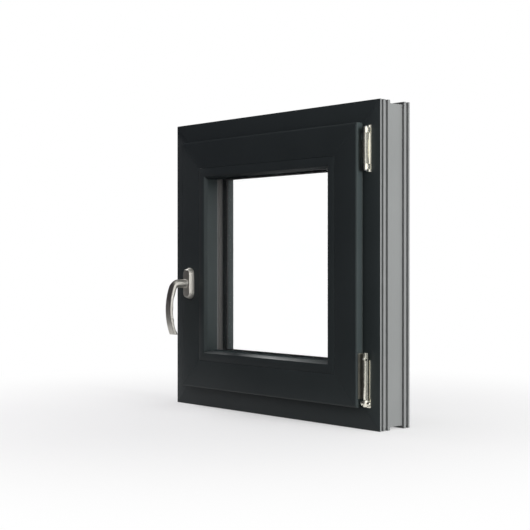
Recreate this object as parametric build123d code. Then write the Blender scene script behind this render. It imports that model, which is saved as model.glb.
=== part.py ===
from build123d import *
import os
from math import asin, cos, degrees, sin

# A square tilt-and-turn window in its outer frame.
# X runs along the width, with the handle at -X and the hinges at +X.
# Y runs from the room outwards: the frame's room face is at Y = 0. Z is up from the sill's underside.
# In a section, "in" runs from the window's outer edge towards the glass, and "out" is Y.

# Window
WIDTH = 600.0
HEIGHT = 600.0

# Outer frame section
FRAME_DEPTH = 80.0
FRAME_LEG = 48.5          # outer edge to the rebate that the sash closes into
STOP_RISE = 20.0          # outer stop above the rebate
STOP_THICKNESS = 17.0
REBATE_FALL = 2.5         # drop of the rebate towards the outside, to drain it
STOP_ROUND = 2.0
EDGE_ROUND = 0.8

# Ribs and anchor grooves round the frame's outer edge, from the room side
RIB_ROOM_EDGE = 4.5
GROOVE_ROOM = 3.5
RIB_SECOND = 7.0
GROOVE_SECOND = 4.0
RIB_CHANNEL_ROOM = 8.0
RIB_CHANNEL_OUTER = 6.5
GROOVE_OUTER = 5.5
RIB_OUTER_EDGE = 5.5
GROOVE_DEPTH = 5.0
CHANNEL_LIP = 1.5         # lips that hold an anchor clip in the wide channel
CHANNEL_LIP_THICKNESS = 1.6

# Sash section
SASH_PROUD = 19.0         # sash face in front of the frame's room face
SEAL_GAP = 4.5            # between the sash's overlap and the frame's room face
OVERLAP = 8.0             # sash over the frame leg
FITTING_GAP = 12.0        # air between the rebate and the sash's body
SASH_BODY = 35.0          # body from its outer edge to the glazing rebate
SASH_LEG_RISE = 25.5      # outer leg above the glazing rebate
SASH_LEG_THICKNESS = 16.0
SASH_LEG_FALL = 2.5       # slope of the outer leg's edge, to shed water
SASH_ROUND = 2.2
HARDWARE_GROOVE = 12.0
HARDWARE_GROOVE_DEPTH = 9.0
HARDWARE_GROOVE_FROM_OVERLAP = 13.0

# Glazing bead
BEAD_WIDTH = 23.0
BEAD_LIP_THICKNESS = 6.0  # sash lip that hides the bead's foot
BEAD_FOOT = 4.0
BEAD_FOOT_DEPTH = 3.5
BEAD_CLEARANCE = 0.3
BEAD_CHAMFER = 6.0        # slope from the bead's face to its reveal
BEAD_ROUND = 1.2          # where the slope meets face and reveal

# Glass
PANE = 4.0
CAVITY = 16.0
GLASS_EDGE_GAP = 5.0      # glazing rebate to the glass edge
GLASS_SEAL = 3.5          # gasket thickness on each side of the glass
GASKET_HEIGHT = 4.5
EDGE_SEAL = 6.0
SPACER = 6.5
SETTING_BLOCK = 80.0
SETTING_BLOCK_INSET = 60.0

# Gaskets between sash and frame
STOP_SEAL_GAP = 3.0       # between the sash's back and the frame's stop
STOP_SEAL_SETBACK = 4.0   # gasket centre behind the edge it seals
BULB_WEB = 2.0

# Handle
HANDLE_BELOW_MIDDLE = 40.0
ROSE_WIDTH = 28.0
ROSE_HEIGHT = 66.0
ROSE_THICKNESS = 11.0
ROSE_EDGE = 1.6
NECK_RADIUS = 9.0
SPIGOT_RADIUS = 7.5
SPIGOT_LENGTH = 9.0
RUNNING_CLEARANCE = 0.06
SHOULDER_GAP = 0.3        # neck shoulder to the rose's face
SPINDLE = 7.0
SPINDLE_LENGTH = 36.0
SPINDLE_SOCKET = 8.0
FOLLOWER_BORE_RADIUS = 6.0
FOLLOWER_BORE_DEPTH = 34.0
GRIP_REACH = 58.8         # sash face to the grip's most proud point
GRIP_BOW_RADIUS = 134.0
GRIP_THICKNESS = 9.4
GRIP_WIDTH = 19.0
GRIP_BAR = 13.4           # thickness of the rounded bar that the grip is cut from
GRIP_BAR_ROUND = 6.0
GRIP_BOW_BELOW_NECK = 55.0
GRIP_DROP = 107.0         # neck axis to the grip's end
GRIP_END_ROUND = 1.8
ELBOW_INNER_RADIUS = 9.0
ELBOW_OUTER_RADIUS = 19.0
SCALLOPS = 3
SCALLOP_PITCH = 26.0
SCALLOP_DEPTH = 1.7
SCALLOP_RADIUS = 44.0
SCALLOP_DROP = 38.0       # neck axis to the first scallop's middle

# Hinges, both on one upright axis
HINGE_AXIS_INSET = 26.3   # from the frame's outer edge
HINGE_AXIS_PROUD = 10.0   # from the frame's room face
HINGE_PIN_RADIUS = 2.5
PIN_CLEARANCE = 0.06
KNUCKLE_GAP = 0.4         # between knuckles that turn on each other
STRAP_THICKNESS = 2.5

TOP_HINGE_MIDDLE = 88.3   # below the frame's top edge
TOP_PLATE_HEIGHT = 84.0
TOP_PLATE_WIDTH = 12.0
TOP_PLATE_THICKNESS = 2.0
TOP_BAR_WIDTH = 5.0
TOP_BAR_PROUD = 4.0
TOP_BAR_INSET = 21.0
TOP_EYE_HEIGHT = 10.5
TOP_EYE_RADIUS = 3.9
TOP_SLEEVE_LENGTH = 55.0
TOP_SLEEVE_RADIUS = 4.3
TOP_STRAP_HEIGHT = 34.0
STRAP_RETURN = 26.0       # strap along the sash's edge
EAR_HEIGHT = 4.0
PIN_HEAD = 1.6
PIN_HEAD_RADIUS = 3.3

BOTTOM_LEAF_FOOT = 57.0   # above the sill's underside
BOTTOM_LEAF_HEIGHT = 83.0
BOTTOM_LEAF_THICKNESS = 2.5
BOTTOM_LEAF_FROM_FACE = 3.0
BOTTOM_SLEEVE_RADIUS = 4.2
BOTTOM_SLEEVE_OVERHANG = 1.0
BOTTOM_RING_ABOVE_FOOT = 26.5
BOTTOM_RING_HEIGHT = 1.6
BOTTOM_RING_DEPTH = 0.7
POST_INSET = 22.5
POST_WIDTH = 3.0
POST_PROUD = 3.0
POST_HEIGHT = 72.0
BEARING_HEIGHT = 12.5
BEARING_RADIUS = 6.5
BEARING_EDGE = 2.0
BEARING_PLATE_HEIGHT = 17.0
BEARING_PLATE_THICKNESS = 2.0
BEARING_PLATE_INSET = 17.0
BEARING_PLATE_WIDTH = 23.0
BEARING_LUG_RADIUS = 4.2
BEARING_LUG_SPREAD = 8.2
BEARING_LUG_PROUD = 12.5
BEARING_PIN_ENGAGEMENT = 14.0
SCREW_RADIUS = 3.0
SCREW_ABOVE_FOOT = 73.7
SCREW_LENGTH = 4.5
SCREW_SOCKET = 2.5
SCREW_SOCKET_DEPTH = 2.0

# Drainage caps outside
CAP_LENGTH = 46.0
CAP_HEIGHT = 13.0
CAP_PROUD = 4.0
CAP_ABOVE_SILL = 30.0
CAP_OFFSET = 180.0
CAP_SHELL = 1.6

# Positions that follow from the sizes above
SASH_EDGE = FRAME_LEG - OVERLAP
SASH_BODY_EDGE = FRAME_LEG + FITTING_GAP
GLAZING_REBATE = SASH_BODY_EDGE + SASH_BODY
SIGHT_LINE = GLAZING_REBATE + SASH_LEG_RISE
BEAD_LINE = SIGHT_LINE - BEAD_WIDTH
STOP_FACE = FRAME_DEPTH - STOP_THICKNESS
SASH_BACK = STOP_FACE - STOP_SEAL_GAP
OUTER_SEAL_OUT = SASH_BACK - SASH_LEG_THICKNESS
OUTER_PANE_OUT = OUTER_SEAL_OUT - GLASS_SEAL
SPACER_OUT = OUTER_PANE_OUT - PANE
INNER_PANE_OUT = SPACER_OUT - CAVITY
GLASS_IN = INNER_PANE_OUT - PANE
BEAD_BACK = GLASS_IN - GLASS_SEAL
LIP_BACK = BEAD_LIP_THICKNESS - SASH_PROUD
GLASS_EDGE = GLAZING_REBATE + GLASS_EDGE_GAP
SPACER_EDGE = GLASS_EDGE + EDGE_SEAL

ROSE_FACE = -SASH_PROUD - ROSE_THICKNESS
HANDLE_X = (SASH_EDGE + BEAD_LINE) / 2 - WIDTH / 2
HANDLE_Z = HEIGHT / 2 - HANDLE_BELOW_MIDDLE
HINGE_X = WIDTH / 2 - HINGE_AXIS_INSET
TOP_HINGE_Z = HEIGHT - TOP_HINGE_MIDDLE


def patch(in_start, in_end, out_start, out_end):
    """A rectangle of a section between two distances in and two distances out."""
    middle = Pos((in_start + in_end) / 2, -(out_start + out_end) / 2)
    return middle * Rectangle(in_end - in_start, out_end - out_start)


def outline(*corners):
    """A closed section through (in, out) corners."""
    return make_face(Polyline(*[(inwards, -out) for inwards, out in corners], close=True))


def corner(section, inwards, out):
    """The vertex of a section nearest to a point."""
    return section.vertices().sort_by_distance((inwards, -out, 0))[0]


def side(name):
    """Where a side of the window starts, and its length. Local x runs along it, y in, z to the room."""
    starts = {
        "bottom": ((-WIDTH / 2, 0, 0), (1, 0, 0), WIDTH),
        "right": ((WIDTH / 2, 0, 0), (0, 0, 1), HEIGHT),
        "top": ((WIDTH / 2, 0, HEIGHT), (-1, 0, 0), WIDTH),
        "left": ((-WIDTH / 2, 0, HEIGHT), (0, 0, -1), HEIGHT),
    }
    origin, along, length = starts[name]
    return Plane(origin=origin, x_dir=along, z_dir=(0, -1, 0)), length


def mitred_bar(section, name):
    """A section run along one side of the window and cut at 45 degrees at both ends."""
    plane, length = side(name)
    depth = SIGHT_LINE + BEAD_WIDTH
    ends = Polyline((0, 0), (length, 0), (length - depth, depth), (depth, depth), close=True)
    wedge = extrude(make_face(ends), FRAME_DEPTH + SASH_PROUD, both=True)
    bar = extrude(Plane.YZ * section, length)
    return plane * (bar & wedge)


def ring(section):
    """A section that runs right round the window as one piece."""
    bars = [mitred_bar(section, name) for name in ("bottom", "right", "top", "left")]
    return bars[0] + bars[1] + bars[2] + bars[3]


def glass_box(in_start, out_start, out_end):
    """A flat pane with its edges at one distance in."""
    width = WIDTH - 2 * in_start
    height = HEIGHT - 2 * in_start
    middle = Pos(0, (out_start + out_end) / 2, HEIGHT / 2)
    return middle * Box(width, out_end - out_start, height)


def block(x_start, x_end, y_start, y_end, z_start, z_end):
    """A box between its lowest and highest corners."""
    middle = Pos((x_start + x_end) / 2, (y_start + y_end) / 2, (z_start + z_end) / 2)
    return middle * Box(x_end - x_start, y_end - y_start, z_end - z_start)


def upright(radius, x, y, z_start, z_end):
    """A round bar standing on Z."""
    return Pos(x, y, (z_start + z_end) / 2) * Cylinder(radius, z_end - z_start)


# Frame
def frame_section():
    """The outer frame: room-side leg, outer stop, sloped rebate, ribs and anchor grooves."""
    stop_tip = FRAME_LEG + STOP_RISE
    section = patch(0, FRAME_LEG, 0, FRAME_DEPTH)
    section += patch(0, stop_tip, STOP_FACE, FRAME_DEPTH)
    slope_start = STOP_FACE / 3
    section -= outline((FRAME_LEG, slope_start), (FRAME_LEG, STOP_FACE), (FRAME_LEG - REBATE_FALL, STOP_FACE))
    for start, end in frame_grooves():
        section -= patch(0, GROOVE_DEPTH, start, end)
    channel_start, channel_end = frame_grooves()[2]
    section -= patch(
        CHANNEL_LIP_THICKNESS, GROOVE_DEPTH, channel_start - CHANNEL_LIP, channel_end + CHANNEL_LIP
    )
    section = fillet(
        [corner(section, stop_tip, STOP_FACE), corner(section, stop_tip, FRAME_DEPTH)], STOP_ROUND
    )
    edges = [corner(section, 0, FRAME_DEPTH), corner(section, FRAME_LEG, 0)]
    return fillet(edges, EDGE_ROUND)


def frame_grooves():
    """The four openings between the ribs, from the room side: two grooves, the channel, one groove."""
    first = RIB_ROOM_EDGE
    second = first + GROOVE_ROOM + RIB_SECOND
    channel = second + GROOVE_SECOND + RIB_CHANNEL_ROOM
    last_end = FRAME_DEPTH - RIB_OUTER_EDGE
    last = last_end - GROOVE_OUTER
    return [
        (first, first + GROOVE_ROOM),
        (second, second + GROOVE_SECOND),
        (channel, last - RIB_CHANNEL_OUTER),
        (last, last_end),
    ]


# Sash
def sash_section():
    """The sash: overlap, body with its hardware groove, glazing rebate, bead groove and outer leg."""
    section = patch(SASH_EDGE, GLAZING_REBATE, -SASH_PROUD, -SEAL_GAP)
    section += patch(GLAZING_REBATE, BEAD_LINE, -SASH_PROUD, LIP_BACK)
    section += patch(SASH_BODY_EDGE, GLAZING_REBATE, -SEAL_GAP, SASH_BACK)
    section += outline(
        (SASH_BODY_EDGE, OUTER_SEAL_OUT),
        (SIGHT_LINE, OUTER_SEAL_OUT),
        (SIGHT_LINE - SASH_LEG_FALL, SASH_BACK),
        (SASH_BODY_EDGE, SASH_BACK),
    )
    foot_end = LIP_BACK + BEAD_FOOT + BEAD_CLEARANCE
    section -= patch(GLAZING_REBATE - BEAD_FOOT_DEPTH, GLAZING_REBATE, LIP_BACK, foot_end)
    groove_start = HARDWARE_GROOVE_FROM_OVERLAP - SEAL_GAP
    section -= patch(
        SASH_BODY_EDGE,
        SASH_BODY_EDGE + HARDWARE_GROOVE_DEPTH,
        groove_start,
        groove_start + HARDWARE_GROOVE,
    )
    section = fillet(corner(section, SASH_EDGE, -SASH_PROUD), SASH_ROUND)
    small = [
        corner(section, SASH_EDGE, -SEAL_GAP),
        corner(section, SIGHT_LINE, OUTER_SEAL_OUT),
        corner(section, SIGHT_LINE - SASH_LEG_FALL, SASH_BACK),
        corner(section, SASH_BODY_EDGE, SASH_BACK),
    ]
    return fillet(small, EDGE_ROUND)


def handle_bore():
    """The hole in the sash that the handle's square spindle turns in."""
    depth = FOLLOWER_BORE_DEPTH
    middle = Pos(HANDLE_X, depth / 2 - SASH_PROUD, HANDLE_Z)
    return middle * Rot(X=90) * Cylinder(FOLLOWER_BORE_RADIUS, depth)


def bead_section():
    """A glazing bead: face, 45 degree slope, reveal and a foot that clips under the sash's lip."""
    base = GLAZING_REBATE + BEAD_CLEARANCE
    section = patch(BEAD_LINE + BEAD_CLEARANCE, SIGHT_LINE, -SASH_PROUD, BEAD_BACK)
    section += patch(base, BEAD_LINE + BEAD_CLEARANCE, LIP_BACK, BEAD_BACK)
    foot_start = base - BEAD_FOOT_DEPTH
    section += patch(foot_start, base, LIP_BACK, LIP_BACK + BEAD_FOOT)
    section = chamfer(corner(section, SIGHT_LINE, -SASH_PROUD), BEAD_CHAMFER)
    slope_ends = [
        corner(section, SIGHT_LINE - BEAD_CHAMFER, -SASH_PROUD),
        corner(section, SIGHT_LINE, BEAD_CHAMFER - SASH_PROUD),
    ]
    section = fillet(slope_ends, BEAD_ROUND)
    return fillet(corner(section, SIGHT_LINE, BEAD_BACK), EDGE_ROUND)


# Glazing
def setting_blocks():
    """Two blocks that carry the glass on the bottom rail's rebate."""
    reach = WIDTH / 2 - GLAZING_REBATE - SETTING_BLOCK_INSET
    blocks = []
    for end in (-1, 1):
        middle = end * (reach - SETTING_BLOCK / 2)
        blocks.append(
            block(
                middle - SETTING_BLOCK / 2,
                middle + SETTING_BLOCK / 2,
                GLASS_IN,
                OUTER_SEAL_OUT - GLASS_SEAL,
                GLAZING_REBATE,
                GLASS_EDGE,
            )
        )
    return Compound(children=blocks)


def glazing_gasket(out_start, out_end, lip_out):
    """A gasket between glass and PVC, sloped to a lip at the sight line."""
    slope = GASKET_HEIGHT / 8
    lip_in = SIGHT_LINE - slope
    foot_in = SIGHT_LINE - EDGE_ROUND
    start_in, end_in = (foot_in, lip_in) if lip_out else (lip_in, foot_in)
    base = SIGHT_LINE - GASKET_HEIGHT
    return ring(outline((base, out_start), (start_in, out_start), (end_in, out_end), (base, out_end)))


def bulb_gasket(middle_in, out_start, out_end):
    """A bulb gasket that fills the gap between two faces."""
    radius = (out_end - out_start) / 2
    bulb = Pos(middle_in, -(out_start + out_end) / 2) * Circle(radius)
    web = patch(middle_in - BULB_WEB / 2, middle_in + BULB_WEB * 1.5, out_start, out_start + radius)
    return ring(bulb + web)


def overlap_gasket():
    """The seal under the sash's overlap, notched where the hinge straps pass."""
    gasket = bulb_gasket(FRAME_LEG - STOP_SEAL_SETBACK, -SEAL_GAP, 0)
    return gasket - strap_passage()


# Handle
def rose():
    """The plate that the handle turns in, with its bore."""
    plane = Plane(origin=(HANDLE_X, -SASH_PROUD, HANDLE_Z), x_dir=(1, 0, 0), z_dir=(0, -1, 0))
    plate = extrude(SlotOverall(ROSE_HEIGHT, ROSE_WIDTH, rotation=90), ROSE_THICKNESS)
    plate = chamfer(plate.faces().sort_by(Axis.Z)[-1].edges(), ROSE_EDGE)
    plate -= Cylinder(SPIGOT_RADIUS + RUNNING_CLEARANCE, 3 * ROSE_THICKNESS)
    return plane * plate


def grip_outline():
    """The handle seen from the side: x is the distance from the sash face, y is up from the neck."""
    neck_start = ROSE_THICKNESS + SHOULDER_GAP
    bow_middle = (GRIP_REACH - GRIP_BOW_RADIUS, -GRIP_BOW_BELOW_NECK)
    inner_radius = GRIP_BOW_RADIUS - GRIP_THICKNESS
    band = Pos(*bow_middle) * (Circle(GRIP_BOW_RADIUS) - Circle(inner_radius))
    length = GRIP_DROP + NECK_RADIUS
    shape = band & (Pos(GRIP_REACH / 2, NECK_RADIUS - length / 2) * Rectangle(GRIP_REACH, length))
    shape += make_face(
        Polyline(
            (neck_start, NECK_RADIUS),
            (bow_reach(NECK_RADIUS, GRIP_THICKNESS / 2), NECK_RADIUS),
            (bow_reach(-NECK_RADIUS, GRIP_THICKNESS / 2), -NECK_RADIUS),
            (neck_start, -NECK_RADIUS),
            close=True,
        )
    )
    elbow = (bow_reach(NECK_RADIUS, 0), NECK_RADIUS, 0)
    shape = fillet(shape.vertices().sort_by_distance(elbow)[0], ELBOW_OUTER_RADIUS)
    armpit = (bow_reach(-NECK_RADIUS, GRIP_THICKNESS), -NECK_RADIUS, 0)
    shape = fillet(shape.vertices().sort_by_distance(armpit)[0], ELBOW_INNER_RADIUS)
    for depth in (0, GRIP_THICKNESS):
        tip = (bow_reach(-GRIP_DROP, depth), -GRIP_DROP, 0)
        shape = fillet(shape.vertices().sort_by_distance(tip)[0], GRIP_END_ROUND)
    for index in range(SCALLOPS):
        below = SCALLOP_DROP + index * SCALLOP_PITCH
        angle = asin((GRIP_BOW_BELOW_NECK - below) / inner_radius)
        reach = inner_radius + SCALLOP_DEPTH - SCALLOP_RADIUS
        centre = Pos(bow_middle[0] + reach * cos(angle), bow_middle[1] + reach * sin(angle))
        shape -= centre * Circle(SCALLOP_RADIUS)
    return shape


def bow_reach(height, depth):
    """How far the grip's bow stands from the sash face, at a height from the neck and a depth in it."""
    rise = height + GRIP_BOW_BELOW_NECK
    radius = GRIP_BOW_RADIUS - depth
    return GRIP_REACH - GRIP_BOW_RADIUS + (radius**2 - rise**2) ** 0.5


def lever():
    """Neck, elbow and bowed grip with finger scallops, cast in one piece, and its spigot."""
    side_view = Plane(origin=(HANDLE_X, -SASH_PROUD, HANDLE_Z), x_dir=(0, -1, 0), z_dir=(-1, 0, 0))
    profile = extrude(side_view * grip_outline(), NECK_RADIUS * 2, both=True)
    bow_centre = GRIP_REACH - GRIP_BOW_RADIUS
    middle_radius = GRIP_BOW_RADIUS - GRIP_THICKNESS / 2
    top = degrees(asin(GRIP_BOW_BELOW_NECK / middle_radius))
    bottom = degrees(asin((GRIP_BOW_BELOW_NECK - GRIP_DROP - NECK_RADIUS) / middle_radius))
    path = side_view * Pos(bow_centre, -GRIP_BOW_BELOW_NECK) * CenterArc(
        (0, 0), middle_radius, top, bottom - top
    )
    start = Plane(origin=path @ 0, x_dir=(1, 0, 0), z_dir=path % 0)
    bar = sweep(start * RectangleRounded(GRIP_WIDTH, GRIP_BAR, GRIP_BAR_ROUND), path)
    neck_reach = GRIP_REACH - ROSE_THICKNESS - SHOULDER_GAP
    neck_middle = ROSE_FACE - SHOULDER_GAP - neck_reach / 2
    neck = Pos(HANDLE_X, neck_middle, HANDLE_Z) * Rot(X=90) * Cylinder(NECK_RADIUS, neck_reach)
    handle = (bar + neck) & profile
    spigot_start = ROSE_FACE - SHOULDER_GAP
    spigot_middle = spigot_start + (SPIGOT_LENGTH + SHOULDER_GAP) / 2
    spigot = Cylinder(SPIGOT_RADIUS, SPIGOT_LENGTH + SHOULDER_GAP)
    handle += Pos(HANDLE_X, spigot_middle, HANDLE_Z) * Rot(X=90) * spigot
    return handle - spindle()


def spindle():
    """The square bar from the lever's socket into the sash."""
    start = ROSE_FACE + SPIGOT_LENGTH - SPINDLE_SOCKET
    middle = Pos(HANDLE_X, start + SPINDLE_LENGTH / 2, HANDLE_Z)
    return middle * Box(SPINDLE, SPINDLE_LENGTH, SPINDLE)


# Top hinge
def top_hinge_bracket():
    """The frame's half: a plate with an upright bar and an eye at each end of the pin."""
    x_edge = WIDTH / 2 - TOP_BAR_INSET
    z_low = TOP_HINGE_Z - TOP_PLATE_HEIGHT / 2
    z_high = TOP_HINGE_Z + TOP_PLATE_HEIGHT / 2
    bracket = block(x_edge - TOP_PLATE_WIDTH, x_edge, -TOP_PLATE_THICKNESS, 0, z_low, z_high)
    bracket += block(x_edge - TOP_BAR_WIDTH, x_edge, -TOP_BAR_PROUD, 0, z_low, z_high)
    for end in (-1, 1):
        inner = TOP_HINGE_Z + end * (TOP_SLEEVE_LENGTH / 2 + KNUCKLE_GAP)
        outer = inner + end * TOP_EYE_HEIGHT
        z_start = min(inner, outer)
        z_end = max(inner, outer)
        bracket += upright(TOP_EYE_RADIUS, HINGE_X, -HINGE_AXIS_PROUD, z_start, z_end)
        web_start = HINGE_X - TOP_EYE_RADIUS / 2
        bracket += block(web_start, x_edge, -HINGE_AXIS_PROUD, -TOP_BAR_PROUD / 2, z_start, z_end)
        ear_low = z_high if end > 0 else z_low - EAR_HEIGHT
        ear = Pos(x_edge - TOP_BAR_WIDTH / 2, -TOP_BAR_PROUD / 2, ear_low + EAR_HEIGHT / 2)
        bracket += ear * Box(TOP_BAR_WIDTH, TOP_BAR_PROUD, EAR_HEIGHT)
    return bracket - top_pin_hole(PIN_CLEARANCE)


def top_pin_hole(clearance):
    """The bore for the top hinge's pin."""
    reach = TOP_PLATE_HEIGHT
    radius = HINGE_PIN_RADIUS + clearance
    return upright(radius, HINGE_X, -HINGE_AXIS_PROUD, TOP_HINGE_Z - reach, TOP_HINGE_Z + reach)


def top_hinge_sleeve():
    """The sash's half: a sleeve on the pin and a strap that bends in along the sash's edge."""
    half = TOP_SLEEVE_LENGTH / 2
    sleeve = upright(
        TOP_SLEEVE_RADIUS, HINGE_X, -HINGE_AXIS_PROUD, TOP_HINGE_Z - half, TOP_HINGE_Z + half
    )
    x_sash = WIDTH / 2 - SASH_BODY_EDGE
    y_front = -(SEAL_GAP + STRAP_THICKNESS) / 2
    y_back = y_front + STRAP_THICKNESS
    z_low = TOP_HINGE_Z - TOP_STRAP_HEIGHT / 2
    z_high = TOP_HINGE_Z + TOP_STRAP_HEIGHT / 2
    strap = block(x_sash, HINGE_X - TOP_PLATE_WIDTH / 2 - STRAP_THICKNESS, y_front, y_back, z_low, z_high)
    riser_x = HINGE_X - TOP_PLATE_WIDTH / 2 - STRAP_THICKNESS
    strap += block(
        riser_x - STRAP_THICKNESS, riser_x, -HINGE_AXIS_PROUD, y_back, z_low, z_high
    )
    strap += block(
        riser_x - STRAP_THICKNESS,
        HINGE_X,
        -HINGE_AXIS_PROUD - STRAP_THICKNESS / 2,
        -HINGE_AXIS_PROUD + STRAP_THICKNESS / 2,
        z_low,
        z_high,
    )
    strap += block(x_sash, x_sash + STRAP_THICKNESS, y_front, STRAP_RETURN, z_low, z_high)
    return sleeve + strap - top_pin_hole(PIN_CLEARANCE)


def strap_passage():
    """The room that the top hinge's strap takes under the sash's overlap."""
    x_sash = WIDTH / 2 - SASH_BODY_EDGE
    x_edge = WIDTH / 2 - SASH_EDGE + SEAL_GAP
    half = TOP_STRAP_HEIGHT / 2 + KNUCKLE_GAP
    return block(x_sash, x_edge, -SEAL_GAP, 0, TOP_HINGE_Z - half, TOP_HINGE_Z + half)


def top_hinge_pin():
    """The top hinge's pin with a head at each end."""
    half = TOP_SLEEVE_LENGTH / 2 + KNUCKLE_GAP + TOP_EYE_HEIGHT
    low = TOP_HINGE_Z - half
    high = TOP_HINGE_Z + half
    pin = upright(HINGE_PIN_RADIUS, HINGE_X, -HINGE_AXIS_PROUD, low, high)
    pin += upright(PIN_HEAD_RADIUS, HINGE_X, -HINGE_AXIS_PROUD, high, high + PIN_HEAD)
    return pin + upright(PIN_HEAD_RADIUS, HINGE_X, -HINGE_AXIS_PROUD, low - PIN_HEAD, low)


# Bottom hinge
def bottom_sleeve_span():
    """The lowest and highest point of the bottom hinge's sleeve."""
    low = BOTTOM_LEAF_FOOT - BOTTOM_SLEEVE_OVERHANG
    return low, BOTTOM_LEAF_FOOT + BOTTOM_LEAF_HEIGHT + BOTTOM_SLEEVE_OVERHANG


def bottom_hinge_leaf():
    """The leaf on the sash's edge, with a web to the sleeve."""
    x_edge = WIDTH / 2 - SASH_EDGE
    x_leaf = x_edge + BOTTOM_LEAF_THICKNESS
    low = BOTTOM_LEAF_FOOT
    high = low + BOTTOM_LEAF_HEIGHT
    leaf = block(x_edge, x_leaf, BOTTOM_LEAF_FROM_FACE - SASH_PROUD, -SEAL_GAP, low, high)
    web_x = HINGE_X
    leaf += block(x_leaf, web_x, -SEAL_GAP - STRAP_THICKNESS, -SEAL_GAP, low, high)
    low, high = bottom_sleeve_span()
    return leaf - upright(BOTTOM_SLEEVE_RADIUS, HINGE_X, -HINGE_AXIS_PROUD, low, high)


def bottom_hinge_sleeve():
    """The sleeve on the leaf, with a turned ring and a boss for the height screw."""
    low, high = bottom_sleeve_span()
    sleeve = upright(BOTTOM_SLEEVE_RADIUS, HINGE_X, -HINGE_AXIS_PROUD, low, high)
    ring_low = BOTTOM_LEAF_FOOT + BOTTOM_RING_ABOVE_FOOT
    ring_high = ring_low + BOTTOM_RING_HEIGHT
    outer_radius = BOTTOM_SLEEVE_RADIUS + BOTTOM_RING_DEPTH
    inner_radius = BOTTOM_SLEEVE_RADIUS - BOTTOM_RING_DEPTH
    turned = upright(outer_radius, HINGE_X, -HINGE_AXIS_PROUD, ring_low, ring_high)
    turned -= upright(inner_radius, HINGE_X, -HINGE_AXIS_PROUD, ring_low, ring_high)
    sleeve -= turned
    seat = Pos(0, -HINGE_AXIS_PROUD, 0) * screw_placing() * Cylinder(
        SCREW_RADIUS, BOTTOM_SLEEVE_RADIUS * 2, align=(Align.CENTER, Align.CENTER, Align.MIN)
    )
    sleeve -= seat
    return sleeve - bottom_pin_space(PIN_CLEARANCE)


def screw_placing():
    """The height screw's axis: it enters the sleeve from the room side, seated in the barrel."""
    z = BOTTOM_LEAF_FOOT + SCREW_ABOVE_FOOT
    return Pos(HINGE_X, -BOTTOM_SLEEVE_RADIUS / 3, z) * Rot(X=90)


def bottom_hinge_screw():
    """The height screw, with its hexagon socket."""
    screw = Cylinder(SCREW_RADIUS, SCREW_LENGTH, align=(Align.CENTER, Align.CENTER, Align.MIN))
    socket = extrude(RegularPolygon(SCREW_SOCKET / 2, 6, major_radius=False), SCREW_SOCKET_DEPTH)
    screw -= Pos(0, 0, SCREW_LENGTH - SCREW_SOCKET_DEPTH) * socket
    return Pos(0, -HINGE_AXIS_PROUD, 0) * screw_placing() * screw


def bottom_pin_space(clearance):
    """The bore for the bottom hinge's pin, in the bearing and up into the sleeve."""
    low, high = bottom_pin_span()
    return upright(HINGE_PIN_RADIUS + clearance, HINGE_X, -HINGE_AXIS_PROUD, low, high)


def bottom_pin_span():
    """The lowest and highest point of the bottom hinge's pin."""
    sleeve_low = bottom_sleeve_span()[0]
    low = sleeve_low - KNUCKLE_GAP - BEARING_HEIGHT / 2
    return low, sleeve_low + BEARING_PIN_ENGAGEMENT


def bottom_hinge_pin():
    """The bearing pin that carries the sash's weight."""
    low, high = bottom_pin_span()
    return upright(HINGE_PIN_RADIUS, HINGE_X, -HINGE_AXIS_PROUD, low, high)


def bottom_hinge_bearing():
    """The corner bearing on the frame: plate, round cup and two side lugs."""
    high = bottom_sleeve_span()[0] - KNUCKLE_GAP
    low = high - BEARING_HEIGHT
    cup = upright(BEARING_RADIUS, HINGE_X, -HINGE_AXIS_PROUD, low, high)
    cup = chamfer(cup.edges().filter_by(GeomType.CIRCLE), BEARING_EDGE)
    x_edge = WIDTH / 2 - BEARING_PLATE_INSET
    plate_middle = (low + high) / 2
    bearing = cup + block(
        x_edge - BEARING_PLATE_WIDTH,
        x_edge,
        -BEARING_PLATE_THICKNESS,
        0,
        plate_middle - BEARING_PLATE_HEIGHT / 2,
        plate_middle + BEARING_PLATE_HEIGHT / 2,
    )
    neck = BEARING_RADIUS - BEARING_EDGE
    bearing += block(
        HINGE_X - neck, HINGE_X + neck, -HINGE_AXIS_PROUD, 0, low + BEARING_EDGE, high - BEARING_EDGE
    )
    for end in (-1, 1):
        lug = Cylinder(
            BEARING_LUG_RADIUS, BEARING_LUG_PROUD, align=(Align.CENTER, Align.CENTER, Align.MIN)
        )
        bearing += Pos(HINGE_X + end * BEARING_LUG_SPREAD, 0, plate_middle) * Rot(X=90) * lug
    return bearing - bottom_pin_space(0)


def bottom_hinge_post():
    """The slim upright of the frame's half, beside the sleeve."""
    x_edge = WIDTH / 2 - POST_INSET
    low = bottom_sleeve_span()[0]
    post = block(x_edge - POST_WIDTH, x_edge, -POST_PROUD, 0, low + BEARING_EDGE, low + POST_HEIGHT)
    return post


# Outside
def drainage_caps():
    """Two small hoods over the drainage slots, open at their underside."""
    caps = []
    for end in (-1, 1):
        x = end * CAP_OFFSET
        z_high = CAP_ABOVE_SILL + CAP_HEIGHT
        hood = block(
            x - CAP_LENGTH / 2,
            x + CAP_LENGTH / 2,
            FRAME_DEPTH,
            FRAME_DEPTH + CAP_PROUD,
            CAP_ABOVE_SILL,
            z_high,
        )
        hood = fillet(hood.edges().filter_by(Axis.Y), CAP_PROUD / 2)
        hood -= block(
            x - CAP_LENGTH / 2 + CAP_SHELL,
            x + CAP_LENGTH / 2 - CAP_SHELL,
            FRAME_DEPTH + CAP_SHELL,
            FRAME_DEPTH + CAP_PROUD - CAP_SHELL / 2,
            CAP_ABOVE_SILL - CAP_SHELL,
            z_high - CAP_SHELL,
        )
        caps.append(hood)
    return Compound(children=caps)


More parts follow.
